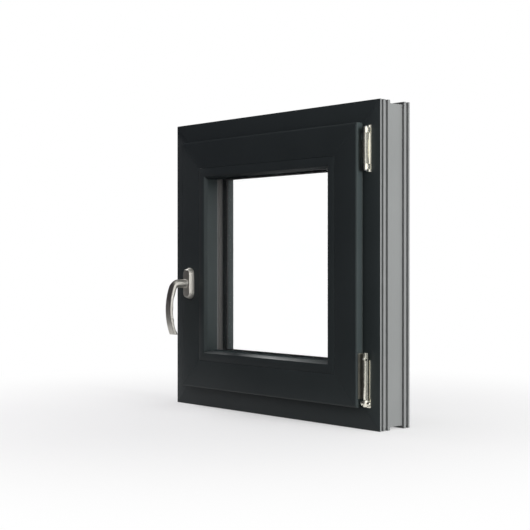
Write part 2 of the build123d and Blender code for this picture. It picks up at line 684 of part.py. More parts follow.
def build():
    """Every node of the window, by name."""
    nodes = {}
    frame = frame_section()
    nodes["frame_sill"] = mitred_bar(frame, "bottom")
    nodes["frame_jamb_right"] = mitred_bar(frame, "right")
    nodes["frame_head"] = mitred_bar(frame, "top")
    nodes["frame_jamb_left"] = mitred_bar(frame, "left")

    sash = sash_section()
    nodes["sash_bottom_rail"] = mitred_bar(sash, "bottom")
    nodes["sash_stile_right"] = mitred_bar(sash, "right")
    nodes["sash_top_rail"] = mitred_bar(sash, "top")
    nodes["sash_stile_left"] = mitred_bar(sash, "left") - handle_bore()

    bead = bead_section()
    for name in ("bottom", "right", "top", "left"):
        nodes["bead_" + name] = mitred_bar(bead, name)

    nodes["glass_inner_pane"] = glass_box(GLASS_EDGE, GLASS_IN, INNER_PANE_OUT)
    nodes["glass_outer_pane"] = glass_box(GLASS_EDGE, SPACER_OUT, OUTER_PANE_OUT)
    nodes["glass_edge_seal"] = ring(patch(GLASS_EDGE, SPACER_EDGE, INNER_PANE_OUT, SPACER_OUT))
    nodes["glass_spacer"] = ring(
        patch(SPACER_EDGE, SPACER_EDGE + SPACER, INNER_PANE_OUT, SPACER_OUT)
    )
    nodes["setting_blocks"] = setting_blocks()
    nodes["bead_gasket"] = glazing_gasket(BEAD_BACK, GLASS_IN, True)
    nodes["outer_glazing_gasket"] = glazing_gasket(OUTER_PANE_OUT, OUTER_SEAL_OUT, False)
    nodes["overlap_gasket"] = overlap_gasket()
    stop_tip = FRAME_LEG + STOP_RISE
    nodes["outer_stop_gasket"] = bulb_gasket(stop_tip - STOP_SEAL_SETBACK, SASH_BACK, STOP_FACE)

    nodes["handle_rose"] = rose()
    nodes["handle_lever"] = lever()
    nodes["handle_spindle"] = spindle()

    nodes["top_hinge_bracket"] = top_hinge_bracket()
    nodes["top_hinge_sleeve"] = top_hinge_sleeve()
    nodes["top_hinge_pin"] = top_hinge_pin()

    nodes["bottom_hinge_leaf"] = bottom_hinge_leaf()
    nodes["bottom_hinge_sleeve"] = bottom_hinge_sleeve()
    nodes["bottom_hinge_screw"] = bottom_hinge_screw()
    nodes["bottom_hinge_pin"] = bottom_hinge_pin()
    nodes["bottom_hinge_bearing"] = bottom_hinge_bearing()
    nodes["bottom_hinge_post"] = bottom_hinge_post()

    nodes["drainage_caps"] = drainage_caps()
    return nodes


os.makedirs("parts", exist_ok=True)
for name, shape in build().items():
    export_step(shape, f"parts/{name}.step")
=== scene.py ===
from math import asin, atan2, cos, pi, radians, sin, sqrt

import bmesh
import bpy
from bpy.props import FloatProperty, FloatVectorProperty, IntProperty, PointerProperty
from mathutils import Matrix, Vector


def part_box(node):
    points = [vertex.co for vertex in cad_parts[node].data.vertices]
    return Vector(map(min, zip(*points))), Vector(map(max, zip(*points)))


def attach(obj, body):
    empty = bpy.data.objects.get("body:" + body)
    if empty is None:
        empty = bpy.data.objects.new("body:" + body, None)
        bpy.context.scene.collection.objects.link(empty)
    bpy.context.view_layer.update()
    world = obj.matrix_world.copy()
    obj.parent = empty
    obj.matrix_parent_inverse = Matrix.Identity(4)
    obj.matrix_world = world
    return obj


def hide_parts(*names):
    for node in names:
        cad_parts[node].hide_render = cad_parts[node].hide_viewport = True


bl_info = {
    "name": "Tilt-and-turn window",
    "version": (1, 0, 0),
    "blender": (4, 5, 0),
    "location": "3D View > Sidebar > Window",
    "description": "Dresses a packed tilt-and-turn window: bars, glazing, handle, hinges, stage",
    "category": "Object",
}

# X runs along the width, Y from the room outwards, Z up from the sill's underside, all in metres.
# In a section, "in" runs from the window's outer edge towards the glass, and "out" is Y.
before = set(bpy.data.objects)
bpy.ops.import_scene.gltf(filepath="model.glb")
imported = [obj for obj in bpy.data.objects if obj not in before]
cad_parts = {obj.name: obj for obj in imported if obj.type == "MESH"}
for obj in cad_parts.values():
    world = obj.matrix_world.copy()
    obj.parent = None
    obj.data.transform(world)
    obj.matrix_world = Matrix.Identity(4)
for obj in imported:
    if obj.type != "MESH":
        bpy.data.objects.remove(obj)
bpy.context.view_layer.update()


def box_of(node):
    """The lowest and highest corner of a node of the frame."""
    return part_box(node)


SILL_LOW, SILL_HIGH = box_of("frame_sill")
WIDTH = SILL_HIGH.x - SILL_LOW.x
HEIGHT = box_of("frame_head")[1].z
FRAME_OUT = SILL_HIGH.y
STOP_TIP = SILL_HIGH.z
SASH_LOW, SASH_HIGH = box_of("sash_bottom_rail")
SASH_EDGE = SASH_LOW.z
SASH_FACE = SASH_LOW.y
SASH_BACK = SASH_HIGH.y
BEAD_HIGH = box_of("bead_bottom")[1]
SIGHT_LINE = BEAD_HIGH.z
BEAD_BACK = BEAD_HIGH.y
ROSE_LOW, ROSE_HIGH = box_of("handle_rose")
LEVER_LOW, LEVER_HIGH = box_of("handle_lever")
HANDLE_X = (ROSE_LOW.x + ROSE_HIGH.x) / 2
HANDLE_Z = (ROSE_LOW.z + ROSE_HIGH.z) / 2
PIN_LOW, PIN_HIGH = box_of("top_hinge_pin")
HINGE_X = (PIN_LOW.x + PIN_HIGH.x) / 2
HINGE_Y = (PIN_LOW.y + PIN_HIGH.y) / 2
SIDES = ("bottom", "right", "top", "left")
# Places and corners closer than these are the same
NEAR = 1e-6
LOOSE = 1e-5
CORNER = 2e-5
# The normal of a mitre's face is this close to 45 degrees
ON_MITRE = 1e-3
# Parts that melt together stand back from each other by this, so that no two faces coincide
STEP = 0.0001
# Turns an upright cylinder towards the room
TO_ROOM = (pi / 2, 0, 0)
# A face looks along an axis if its normal has this share of it
ALONG_AXIS = 0.9
# Shares of a head's radius: sloped rim of a dished head, and slope, rim and depth of a socket
HEAD_RIM = 0.3
SCREW_SLOPE = 0.12
SCREW_RIM = 0.45
SCREW_DEPTH = 0.5
# What lies this much past a round part's radius still belongs to it
SLACK = 1.05
# The broken edge stays below this share of a rounded corner
CORNER_SHARE = 0.35


def number(name, words, default, **settings):
    """A plain number."""
    return FloatProperty(name=name, description=words, default=default, **settings)


def length(name, words, default):
    """A size in metres, shown in the scene's own unit."""
    return number(name, words, default, unit="LENGTH", subtype="DISTANCE", precision=5, min=0.0)


def angle(name, words, default):
    """An angle, given in degrees."""
    return number(name, words, radians(default), unit="ROTATION", subtype="ANGLE")


def power(name, words, default):
    """A lamp's power in watts."""
    return number(name, words, default, unit="POWER")


def count(name, words, default, least):
    """A whole number."""
    return IntProperty(name=name, description=words, default=default, min=least)


def place(name, words, default):
    """A point in metres."""
    return FloatVectorProperty(
        name=name, description=words, default=default, subtype="XYZ", unit="LENGTH", size=3
    )


def colour(name, words, default):
    """A finish's colour, linear."""
    return FloatVectorProperty(
        name=name, description=words, default=default, subtype="COLOR", size=3, min=0.0, max=1.0
    )


class FrameSizes(bpy.types.PropertyGroup):
    """Section of the outer frame, and the ribs round its outer edge from the room side."""

    leg: length("Leg", "Outer edge to the rebate that the sash closes into", 0.0485)
    stop: length("Stop", "Thickness of the outer stop", 0.017)
    fall: length("Fall", "Drop of the rebate towards the outside", 0.0025)
    stop_round: length("Stop round", "Radius on the stop's edges", 0.002)
    edge_round: length("Edge round", "Radius on the long edges", 0.0006)
    rib_room: length("Room rib", "Rib at the room-side edge", 0.0044)
    groove_room: length("Room groove", "Groove beside the room rib", 0.0044)
    rib_second: length("Second rib", "Rib between the two room-side grooves", 0.0062)
    groove_second: length("Second groove", "Groove before the channel's rib", 0.0057)
    rib_channel: length("Channel rib", "Rib on the channel's room side", 0.0063)
    rib_channel_outer: length("Outer channel rib", "Rib on the channel's outer side", 0.0060)
    groove_outer: length("Outer groove", "Groove beside the outer rib", 0.0056)
    rib_outer: length("Outer rib", "Rib at the outer edge", 0.0040)
    rib_round: length("Rib round", "Radius on the ribs' edges", 0.0007)
    groove_depth: length("Groove depth", "Depth of grooves and channel", 0.005)
    lip: length("Channel lip", "Lip that holds an anchor clip in the channel", 0.0015)
    lip_thickness: length("Lip thickness", "Thickness of the channel's lips", 0.0016)
    weld: length("Weld groove", "Width of the cleaned groove along a welded mitre", 0.0005)


class SashSizes(bpy.types.PropertyGroup):
    """Section of the sash and its glazing bead."""

    seal_gap: length("Seal gap", "Between the sash's overlap and the frame's face", 0.0045)
    fitting_gap: length("Fitting gap", "Air between the rebate and the sash's body", 0.012)
    body: length("Body", "Body from its outer edge to the glazing rebate", 0.035)
    leg: length("Outer leg", "Thickness of the leg outside the glass", 0.016)
    fall: length("Leg fall", "Slope of the outer leg's edge", 0.0025)
    slope_in: length("Edge slope, face", "Slope of the front edge across the face", 0.0030)
    slope_out: length("Edge slope, side", "Slope of the front edge down the side", 0.0014)
    edge_round: length("Edge round", "Radius on the long edges", 0.0006)
    groove: length("Fitting groove", "Width of the groove for the locking bar", 0.012)
    groove_depth: length("Fitting groove depth", "Depth of that groove", 0.009)
    groove_from_face: length("Fitting groove start", "Frame's room face to that groove", 0.0085)
    bead_foot: length("Bead foot", "Foot of the bead under the sash's lip", 0.0035)
    bead_width: length("Bead width", "Bead from its joint with the sash to the opening", 0.023)
    bead_lip: length("Bead lip", "Lip of the sash over the bead's foot", 0.006)
    bead_slope: length("Bead slope", "Side of the bead's 45 degree slope", 0.006)
    bead_round: length("Bead round", "Radius where the slope meets face and reveal", 0.0012)
    joint_round: length("Joint round", "Radius on both sides of the bead's joint line", 0.0005)
    clearance: length("Bead clearance", "Gap of the bead's joint line", 0.0003)


class GlazingSizes(bpy.types.PropertyGroup):
    """Gaskets, panes and spacer."""

    lip: length("Gasket lip", "Height of the gasket's lip over the glass", 0.0045)
    setback: length("Setback", "Gasket's lip below the sight line", 0.0006)
    lip_round: length("Lip round", "Radius on the lip's edge away from the glass", 0.0008)
    back_round: length("Back round", "Radius on the lip's other edge", 0.0004)
    spacer: length("Spacer height", "Height of the spacer bar", 0.0065)
    butyl: length("Butyl line", "Black line between spacer and pane", 0.0022)
    arris: length("Arris", "Ground edge of a pane", 0.0004)
    spacer_round: length("Spacer round", "Rounded shoulder of the spacer bar", 0.0008)
    hole_pitch: length("Hole pitch", "Between two drying holes in the spacer", 0.0035)


class HandleSizes(bpy.types.PropertyGroup):
    """The rose and the bowed lever."""

    bore: length("Spindle bore", "Radius of the sash's bore behind the rose", 0.006)
    bore_depth: length("Bore depth", "Depth of that bore", 0.034)
    rose_break: length("Rose edge", "Rounding of the slope's two edges", 0.00015)
    rose_slope: length("Rose slope", "Sloped rim round the rose's face", 0.0004)
    rose_foot: length("Rose foot", "Upright edge at the rose's foot", 0.0012)
    rose_draft: length("Rose draft", "How far the rose's side leans in to its face", 0.0038)
    neck_radius: length("Neck radius", "Round bar between rose and elbow", 0.009)
    neck_gap: length("Neck gap", "Between the neck's end and the rose", 0.0003)
    neck_land: length("Neck land", "Flat rim round the neck's end", 0.0006)
    collar: length("Collar", "How far the collar stands out from the neck", 0.0007)
    bow_radius: length("Bow radius", "Outer radius of the grip's bow", 0.134)
    bow_below: length("Bow middle", "Bow's centre below the neck's axis", 0.055)
    elbow_radius: length("Elbow radius", "Bend between neck and grip, at its middle", 0.014)
    thickness: length("Grip thickness", "Between the grip's two flats", 0.0094)
    drop: length("Drop", "Neck axis to the grip's end", 0.107)
    bulge: number("Bulge", "Round bar's depth over its width, before its flats", 1.15)
    inner_flat: number("Inner flat", "Width of the flat that faces the sash", 0.9)
    inner_taper: number("Inner taper", "Narrowing of the grip at two levels to the sash", 0.93)
    points: count("Points", "Points round the grip", 32, 8)
    bow_steps: count("Bow steps", "Rings down the bow", 26, 4)
    top_steps: count("Top steps", "Rings from the bow's middle to the elbow", 18, 2)
    elbow_steps: count("Elbow steps", "Rings round the elbow", 9, 3)
    scallops: count("Scallops", "Finger hollows on the inner face", 3, 0)
    scallop_pitch: length("Scallop pitch", "Between two hollows", 0.026)
    scallop_first: length("First scallop", "Neck axis to the first hollow's middle", 0.038)
    scallop_depth: length("Scallop depth", "Depth of a hollow", 0.0024)
    end_round: length("End round", "Rounding of the grip's blunt end", 0.0014)


class HingeSizes(bpy.types.PropertyGroup):
    """Both hinges."""

    edge: length("Edge", "Broken edge on pressed and turned parts", 0.00035)
    plate: length("Plate", "Thickness of the plates on the frame", 0.002)
    corner: length("Corner", "Rounded corners of bracket and post", 0.0008)
    leaf_corner: length("Leaf corner", "Rounded corners of the leaf", 0.0006)
    bearing_corner: length("Bearing corner", "Rounded corners of the bearing's plate", 0.0015)
    strap: length("Strap", "Thickness of the sash's straps", 0.0025)
    strap_height: length("Strap height", "Height of the top hinge's strap", 0.034)
    strap_gap: length("Strap gap", "Gap that the strap passes through", 0.0045)
    bar: length("Bar", "Width of the bracket's bar", 0.005)
    bar_proud: length("Bar depth", "How far that bar stands out", 0.004)
    bar_slope: length("Bar slope", "Side of the bar's sloped corner", 0.0033)
    ear: length("Ear", "Ends of the bar past the plate", 0.004)
    top_eye: length("Eye", "Radius of the bracket's two eyes", 0.0039)
    knuckle_gap: length("Knuckle gap", "Between knuckles that turn on each other", 0.0004)
    pin_head: length("Pin head", "Thickness of a pin's head", 0.0016)
    pin_radius: length("Pin radius", "Radius of the pins", 0.0025)
    flat_turn: angle("Flat's side", "Where a barrel's flat looks, from room to hinge side", 84)
    flat_share: number("Flat's depth", "Axis to a barrel's flat, as a share of its radius", 0.70)
    ring: length("Ring", "Width of the barrel's turned ring", 0.0024)
    ring_above: length("Ring height", "Barrel's foot to the ring", 0.0275)
    ring_depth: length("Ring depth", "Depth of the turned ring", 0.0011)
    boss_radius: length("Boss radius", "Round the height screw", 0.0024)
    cup_radius: length("Cup radius", "Radius of the bearing's cup", 0.0048)
    cup_height: length("Cup height", "Height of the bearing's cup", 0.0125)
    cup_edge: length("Cup edge", "Sloped rims of the cup", 0.0012)
    lug_radius: length("Lug radius", "Radius of the bearing's side lugs", 0.0038)
    lug_spread: length("Lug spread", "Hinge axis to a lug's middle", 0.0078)
    lug_proud: length("Lug depth", "How far the lugs stand out", 0.0125)
    lug_length: length("Lug length", "From a lug's face to its back", 0.0040)
    bearing_half: length("Bearing plate", "Half the width of the bearing's plate", 0.0046)
    screw_radius: length("Screw radius", "Radius of the height screw", 0.0018)
    screw_back: length("Screw back", "Boss's face to the middle of the height screw", 0.0009)
    screw_sink: length("Screw sink", "Slope round the screw's face", 0.0003)
    socket: length("Socket", "Radius of the socket in the barrel's side", 0.0022)
    socket_depth: length("Socket depth", "Depth of that socket", 0.0024)
    socket_turn: angle("Socket's side", "Where the socket looks, from room to hinge side", 62)


class OutsideSizes(bpy.types.PropertyGroup):
    """Drainage caps."""

    cap_length: length("Length", "Length of a hood", 0.046)
    cap_shell: length("Shell", "Wall of a hood", 0.0016)
    cap_rim: length("Rim", "Rim round a hood's face", 0.0016)
    cap_dish: length("Dish", "Depth of its face below the rim", 0.0004)
    cap_edge: length("Edge", "Broken edges of a hood", 0.0003)
    cap_inner_edge: length("Inner edge", "Broken edges of its hollow", 0.0002)


class FinishColours(bpy.types.PropertyGroup):
    """Colours of the finishes."""

    foil: colour("Foil", "Anthracite foil", (0.048, 0.060, 0.061))
    pvc: colour("PVC", "Bare grey PVC", (0.235, 0.243, 0.241))
    black_rubber: colour("Black rubber", "Outer seals", (0.012, 0.012, 0.013))
    grey_rubber: colour("Grey rubber", "Seal under the bead", (0.15, 0.15, 0.15))
    dark_rubber: colour("Dark rubber", "Seal under the sash's overlap", (0.070, 0.082, 0.080))
    spacer: colour("Spacer", "Spacer bar", (0.062, 0.060, 0.056))
    sealant: colour("Sealant", "Edge seal of the glass unit", (0.008, 0.008, 0.008))
    block: colour("Setting block", "Hard plastic block", (0.05, 0.12, 0.06))
    handle: colour("Handle metal", "Satin nickel", (0.76, 0.73, 0.60))
    # Painted shade: the leaf's dark tone stands for the barrel's shade on it; its hatched grain is
    # real
    leaf: colour("Leaf", "Dull plating of the bottom hinge's leaf", (0.14, 0.137, 0.115))
    # Painted shade: the near-black inside the barrel's socket stands for the shade in the hole
    socket: colour("Socket", "Blackened steel in the barrel's socket", (0.03, 0.028, 0.024))
    hinge: colour("Hinge metal", "Bright nickel-silver plating", (0.95, 0.92, 0.80))
    steel: colour("Zinc steel", "Pins and screws", (0.58, 0.57, 0.54))
    floor: colour("Floor", "Pale studio floor", (0.93, 0.93, 0.93))


class StageSettings(bpy.types.PropertyGroup):
    """Camera, floor and studio light."""

    camera: place("Camera", "Place of the camera", (1.7483, -1.55989, 0.3088))
    turn: angle("Turn", "Camera's turn about the upright", 48.4577)
    tilt: angle("Tilt", "Camera's tilt, 90 degrees looks level", 89.7744)
    lens: number("Lens", "Focal length, mm", 80.0, unit="CAMERA")
    sensor: number("Sensor", "Sensor width, mm", 36.0, unit="CAMERA")
    floor_radius: length("Floor", "Radius of the floor", 30.0)
    floor_drop: length("Floor drop", "Floor below the sill, so that no faces coincide", 0.0002)
    floor_white: number("Floor white", "Share of plain white under the window", 0.45)
    floor_bounce: number("Floor bounce", "Share of the floor that lights the window", 0.03)
    shadow_reach: length("Shadow reach", "Window to where the floor has turned white", 1.1)
    card: number("Card", "Strength of the pale card that the metal reflects", 2.4)
    card_size: length("Card size", "Side of that card", 2.4)
    card_place: place("Card's place", "Middle of that card", (2.9, 0.35, 1.0))
    flag_colour: colour("Flags", "Dark cloth of the flags, as seen", (0.026, 0.024, 0.028))
    flag_fill: number("Flag fill", "How much more light the flags give than they show", 10.0)
    room_light: number("Room light", "Strength of the studio's walls", 0.60)
    lamp_aim: place("Aim", "What the lamps point at", (0, 0, 0.3))
    key: power("Side light", "Power of the soft box at the hinge side", 70.0)
    key_size: length("Side light's size", "Side of that soft box", 1.1)
    key_place: place("Side light's place", "Middle of that soft box", (2.9, 0.02, 0.75))
    top: power("Top light", "Power of the soft box overhead at the left", 26.0)
    sheen: power("Sheen", "Power of the same soft box as gloss sees it", 130.0)
    top_size: length("Top light's size", "Side of that soft box", 0.8)
    top_place: place("Top light's place", "Middle of that soft box", (-2.1, -0.25, 2.2))


# Tools of the hand
def nothing_selected():
    """Leaves edit mode and deselects everything."""
    if bpy.context.object:
        leave()
    bpy.ops.object.select_all(action="DESELECT")


def work_on(*pieces):
    """Selects these pieces only, and makes the first the active one."""
    nothing_selected()
    for piece in pieces:
        piece.select_set(True)
    bpy.context.view_layer.objects.active = pieces[0]


def edit(piece):
    """Opens a piece in edit mode."""
    work_on(piece)
    bpy.ops.object.mode_set(mode="EDIT")


def leave():
    """Goes back to object mode and gives the piece in hand."""
    if bpy.context.object.mode != "OBJECT":
        bpy.ops.object.mode_set(mode="OBJECT")
    return bpy.context.object


def start(name, primitive, **settings):
    """Adds a primitive, names it, and opens it in edit mode with its place in its mesh."""
    nothing_selected()
    primitive(**settings)
    piece = bpy.context.object
    piece.name = piece.data.name = name
    bpy.ops.object.transform_apply(location=True, rotation=True, scale=True)
    bpy.ops.object.mode_set(mode="EDIT")
    everything()
    return piece


def everything():
    """Selects the whole mesh that is being edited."""
    bpy.ops.mesh.select_all(action="SELECT")


def pick(kind, read, test):
    """Selects the parts of the mesh whose readings pass a test, and gives those readings."""
    bpy.ops.mesh.select_mode(type=kind)
    bpy.ops.mesh.select_all(action="DESELECT")
    data = bpy.context.object.data
    mesh = bmesh.from_edit_mesh(data)
    parts = {"VERT": mesh.verts, "EDGE": mesh.edges, "FACE": mesh.faces}[kind]
    found = [part for part in parts if test(*read(part))]
    for part in found:
        part.select_set(True)
    if kind == "VERT":
        mesh.select_flush_mode()
    bmesh.update_edit_mesh(data)
    return [read(part) for part in found]


def pick_faces(test):
    """Selects the faces whose middle and normal pass a test."""
    return pick("FACE", lambda face: (face.calc_center_median(), face.normal), test)


def pick_edges(test):
    """Selects the edges whose two ends pass a test."""
    return pick("EDGE", lambda edge: [point.co for point in edge.verts], test)


def pick_points(test):
    """Selects the points that pass a test, and gives their places."""
    return [found[0] for found in pick("VERT", lambda point: [point.co.copy()], test)]


def move(x=0.0, y=0.0, z=0.0):
    """Moves what is selected."""
    bpy.ops.transform.translate(value=(x, y, z), orient_type="GLOBAL")


def grow(value, about):
    """Scales what is selected about a point."""
    bpy.ops.transform.resize(value=value, orient_type="GLOBAL", center_override=about)


def extrude(x=0.0, y=0.0):
    """Draws what is selected out along the width or outwards."""
    bpy.ops.mesh.extrude_region_move(TRANSFORM_OT_translate={"value": (x, y, 0)})


def cut(at, normal, **settings):
    """Cuts the whole mesh along a plane."""
    everything()
    bpy.ops.mesh.bisect(plane_co=at, plane_no=normal, threshold=NEAR, **settings)


def cut_level(z):
    """Cuts the whole mesh level, at a height."""
    cut((0, 0, z), (0, 0, 1))


def cut_deep(y):
    """Cuts the whole mesh along the room's side, at a depth."""
    cut((0, y, 0), (0, 1, 0))


def bevel(offset, segments=2, affect="EDGES", **settings):
    """Bevels what is selected."""
    bpy.ops.mesh.bevel(offset=offset, segments=segments, affect=affect, **settings)


def tidy_mesh(merge=NEAR):
    """Merges doubles and turns all faces outwards."""
    everything()
    bpy.ops.mesh.remove_doubles(threshold=merge)
    bpy.ops.mesh.normals_make_consistent(inside=False)


def close_piece():
    """Ends the edit of a closed piece: no doubles, and its faces look outwards."""
    tidy_mesh()
    if bmesh.from_edit_mesh(bpy.context.object.data).calc_volume(signed=True) < 0:
        everything()
        bpy.ops.mesh.flip_normals()
    return leave()


def apply_modifier(piece, kind, **settings):
    """Adds a modifier, sets it and applies it."""
    work_on(piece)
    modifier = piece.modifiers.new(kind.title(), kind)
    for name, value in settings.items():
        setattr(modifier, name, value)
    bpy.ops.object.modifier_apply(modifier=modifier.name)


def combine(piece, operation, solver, others):
    """Combines a piece with other closed pieces, which are used up."""
    for other in others:
        apply_modifier(piece, "BOOLEAN", operation=operation, solver=solver, object=other)
        bpy.data.objects.remove(other)
    return piece


def unite(piece, *others):
    """Melts other closed pieces into the first."""
    return combine(piece, "UNION", "MANIFOLD", others)


def drill(piece, bit):
    """Cuts a piece with another."""
    return combine(piece, "DIFFERENCE", "EXACT", [bit])


def copy_piece(piece, name):
    """A copy with its own mesh."""
    work_on(piece)
    bpy.ops.object.duplicate(linked=False)
    twin = bpy.context.object
    twin.name = twin.data.name = name
    return twin


def join(pieces):
    """Joins pieces to the first."""
    work_on(*pieces)
    bpy.ops.object.join()
    return bpy.context.object


def mark_faces(piece, test):
    """Gives its second material to the faces whose middle and corners pass a test."""
    points = piece.data.vertices
    for face in piece.data.polygons:
        corners = [points[index].co for index in face.vertices]
        face.material_index = int(test(face.center, corners))


# Bars with a section, run round the window
def draw_section(name, solid, hollow=()):
    """A section as one sheet, from patches (in start, in end, out start, out end) less hollows."""
    patches = [*solid, *hollow]
    ins = sorted({round(value, 7) for patch in patches for value in patch[:2]})
    outs = sorted({round(value, 7) for patch in patches for value in patch[2:]})
    middle = (0, (outs[0] + outs[-1]) / 2, (ins[0] + ins[-1]) / 2)
    piece = start(
        name, bpy.ops.mesh.primitive_plane_add, size=1, location=middle, rotation=(0, pi / 2, 0)
    )
    grow((1, outs[-1] - outs[0], ins[-1] - ins[0]), middle)
    for value in ins[1:-1]:
        cut_level(value)
    for value in outs[1:-1]:
        cut_deep(value)

    def within(cell, rows):
        return any(p[0] < cell.z < p[1] and p[2] < cell.y < p[3] for p in rows)

    if pick_faces(lambda cell, normal: within(cell, hollow) or not within(cell, solid)):
        bpy.ops.mesh.delete(type="FACE")
    one_face()
    return piece


def one_face():
    """Makes the section one face with points only at its corners."""
    everything()
    bpy.ops.mesh.remove_doubles(threshold=NEAR)
    bpy.ops.mesh.dissolve_limited(angle_limit=radians(0.5))


def pick_corner(inwards, out):
    """Selects a corner of the section."""
    if not pick_points(lambda p: abs(p.z - inwards) < CORNER and abs(p.y - out) < CORNER):
        raise RuntimeError(f"no corner at {inwards:.4f}, {out:.4f}")


def shift_corner(old, new, stay_in=None, stay_out=None):
    """Moves a corner of the section to a new (in, out). Past the stay lines, nothing changes."""
    if stay_in is not None:
        cut_level(stay_in)
    if stay_out is not None:
        cut_deep(stay_out)
    pick_corner(*old)
    move(y=new[1] - old[1], z=new[0] - old[0])
    one_face()


def round_section(corners):
    """Rounds corners (in, out, radius, steps) of the section."""
    for inwards, out, radius, steps in corners:
        pick_corner(inwards, out)
        bevel(radius, steps, "VERTICES", profile=0.5)


def run_section(piece, weld):
    """Runs the section along the sill's side and mitres both ends, with a small weld groove."""
    half = WIDTH / 2
    everything()
    move(x=-half - SIGHT_LINE)
    extrude(x=WIDTH + 2 * SIGHT_LINE)
    for end in (-1, 1):
        cut((end * half, 0, 0), Vector((end, 0, 1)).normalized(), clear_outer=True, use_fill=True)
    tidy_mesh()
    if weld:
        def on_mitre(p):
            return abs(abs(p.x) - half + p.z) < NEAR

        pick_edges(lambda a, b: on_mitre(a) and on_mitre(b))
        bevel(weld / 2, 1)
        tidy_mesh()
    leave()
    return piece


def round_the_window(piece, names):
    """Turns copies of the bottom bar on to the other three sides of the square window."""
    about = Matrix.Translation((0, 0, HEIGHT / 2))
    bars = [piece]
    for step, name in enumerate(names[1:], start=1):
        bar = copy_piece(piece, name)
        bar.data.transform(about @ Matrix.Rotation(-step * pi / 2, 4, "Y") @ about.inverted())
        bar.data.update()
        bars.append(bar)
    return bars


def ring_of(name, solid, rounds=()):
    """A section with rounded corners run round the window, with no faces inside its corners."""
    piece = draw_section(name, solid)
    round_section(rounds)
    run_section(piece, 0)
    ring = join(round_the_window(piece, [f"{name}_{side}" for side in SIDES]))
    ring.name = name
    edit(ring)
    mitre = sqrt(0.5)
    pick_faces(lambda middle, normal: abs(abs(normal.x) - mitre) < ON_MITRE > abs(normal.y))
    bpy.ops.mesh.delete(type="FACE")
    tidy_mesh(merge=LOOSE)
    return leave()


# Turned and pressed parts
def rod(name, middle, radius, deep, points=32, turn=TO_ROOM):
    """A plain rod, left in edit mode. It faces the room unless it is turned otherwise."""
    return start(
        name, bpy.ops.mesh.primitive_cylinder_add, vertices=points, radius=radius, depth=deep,
        location=middle, rotation=turn
    )


def knob(name, middle, radius, deep, edge):
    """A rod towards the room with its front rim broken."""
    rod(name, middle, radius, deep)
    pick_edges(lambda a, b: max(a.y, b.y) < middle[1])
    bevel(edge)
    return close_piece()


def turned(name, low, high, radius, edge, dish=0.0):
    """A part turned about the hinges' axis with broken rims and, if asked, dished ends."""
    rod(name, (HINGE_X, HINGE_Y, (low + high) / 2), radius, high - low, 48, (0, 0, 0))
    axis = Vector((HINGE_X, HINGE_Y))
    if dish:
        pick_faces(lambda middle, normal: abs(normal.z) > ALONG_AXIS)
        bpy.ops.mesh.inset(thickness=radius * HEAD_RIM, use_individual=True)
        bpy.ops.mesh.inset(thickness=dish, use_individual=True)
        for level, step in ((low, dish), (high, -dish)):
            pick_faces(lambda middle, normal: abs(normal.z) > ALONG_AXIS
                       and (middle - Vector((*axis, level))).length < NEAR * 2)
            move(z=step)
    pick_edges(
        lambda a, b: abs(a.z - b.z) < NEAR and min(abs(a.z - low), abs(a.z - high)) < NEAR
        and min((a.xy - axis).length, (b.xy - axis).length) > radius * 0.99
    )
    bevel(edge)
    return close_piece()


def block(name, low, high):
    """A block between two corners, left in edit mode."""
    low, high = Vector(low), Vector(high)
    piece = start(name, bpy.ops.mesh.primitive_cube_add, size=1, location=(low + high) / 2)
    grow(high - low, (low + high) / 2)
    return piece


def plate(name, low, high, edge, corners=0.0, axis="y"):
    """A flat bar between two corners, its corners across an axis rounded and its edges broken."""
    block(name, low, high)
    if corners:
        index = "xyz".index(axis)
        pick_edges(lambda a, b: abs(a[index] - b[index]) > LOOSE)
        bevel(corners, 4)
        edge = min(edge, corners * CORNER_SHARE)
    everything()
    bevel(edge)
    return close_piece()


# Finishes
def feed(tree, node, inputs):
    """Fills a node's inputs with values or with other nodes' outputs."""
    for socket, value in inputs.items():
        if isinstance(value, bpy.types.NodeSocket):
            tree.links.new(value, node.inputs[socket])
        else:
            node.inputs[socket].default_value = value
    return node


def add_node(tree, kind, inputs=None, **settings):
    """Adds a shader node, sets it and feeds it."""
    node = tree.nodes.new("ShaderNode" + kind)
    for name, value in settings.items():
        setattr(node, name, value)
    return feed(tree, node, inputs or {})


def output(tree, kind, name, inputs=None, **settings):
    """One output of a new node."""
    return add_node(tree, kind, inputs, **settings).outputs[name]


def maths(tree, operation, first, second=0.0, third=0.0):
    """A sum on up to three values."""
    return output(tree, "Math", 0, {0: first, 1: second, 2: third}, operation=operation)


def noise(tree, vector, scale, detail, **inputs):
    """The level of a noise at a place."""
    return output(
        tree, "TexNoise", "Fac", {"Vector": vector, "Scale": scale, "Detail": detail, **inputs}
    )


def relief(tree, height, strength, depth):
    """A bump from a height."""
    inputs = {"Strength": strength, "Distance": depth, "Height": height}
    return output(tree, "Bump", "Normal", inputs)


def ranged(tree, value, ends, levels, **settings):
    """A value's range brought to other levels."""
    return output(tree, "MapRange", "Result", {
        "Value": value, "From Min": ends[0], "From Max": ends[1],
        "To Min": levels[0], "To Max": levels[1],
    }, **settings)


def bare_material(name):
    """A new material with only an output, and its tree."""
    material = bpy.data.materials.new(name)
    material.use_nodes = True
    tree = material.node_tree
    tree.nodes.remove(tree.nodes["Principled BSDF"])
    return material, tree


# Most of a noise lies between these levels
NOISE_ENDS = (0.3, 0.7)
# Detail of the fine grain and of the broad clouds, and roughness of the fine grain
GRAIN_DETAIL = 5.0
CLOUD_DETAIL = 3.0
GRAIN_ROUGHNESS = 0.6
# A matt finish has lost its gloss when it faces away this much more than where that begins
MATT_SPAN = 0.3


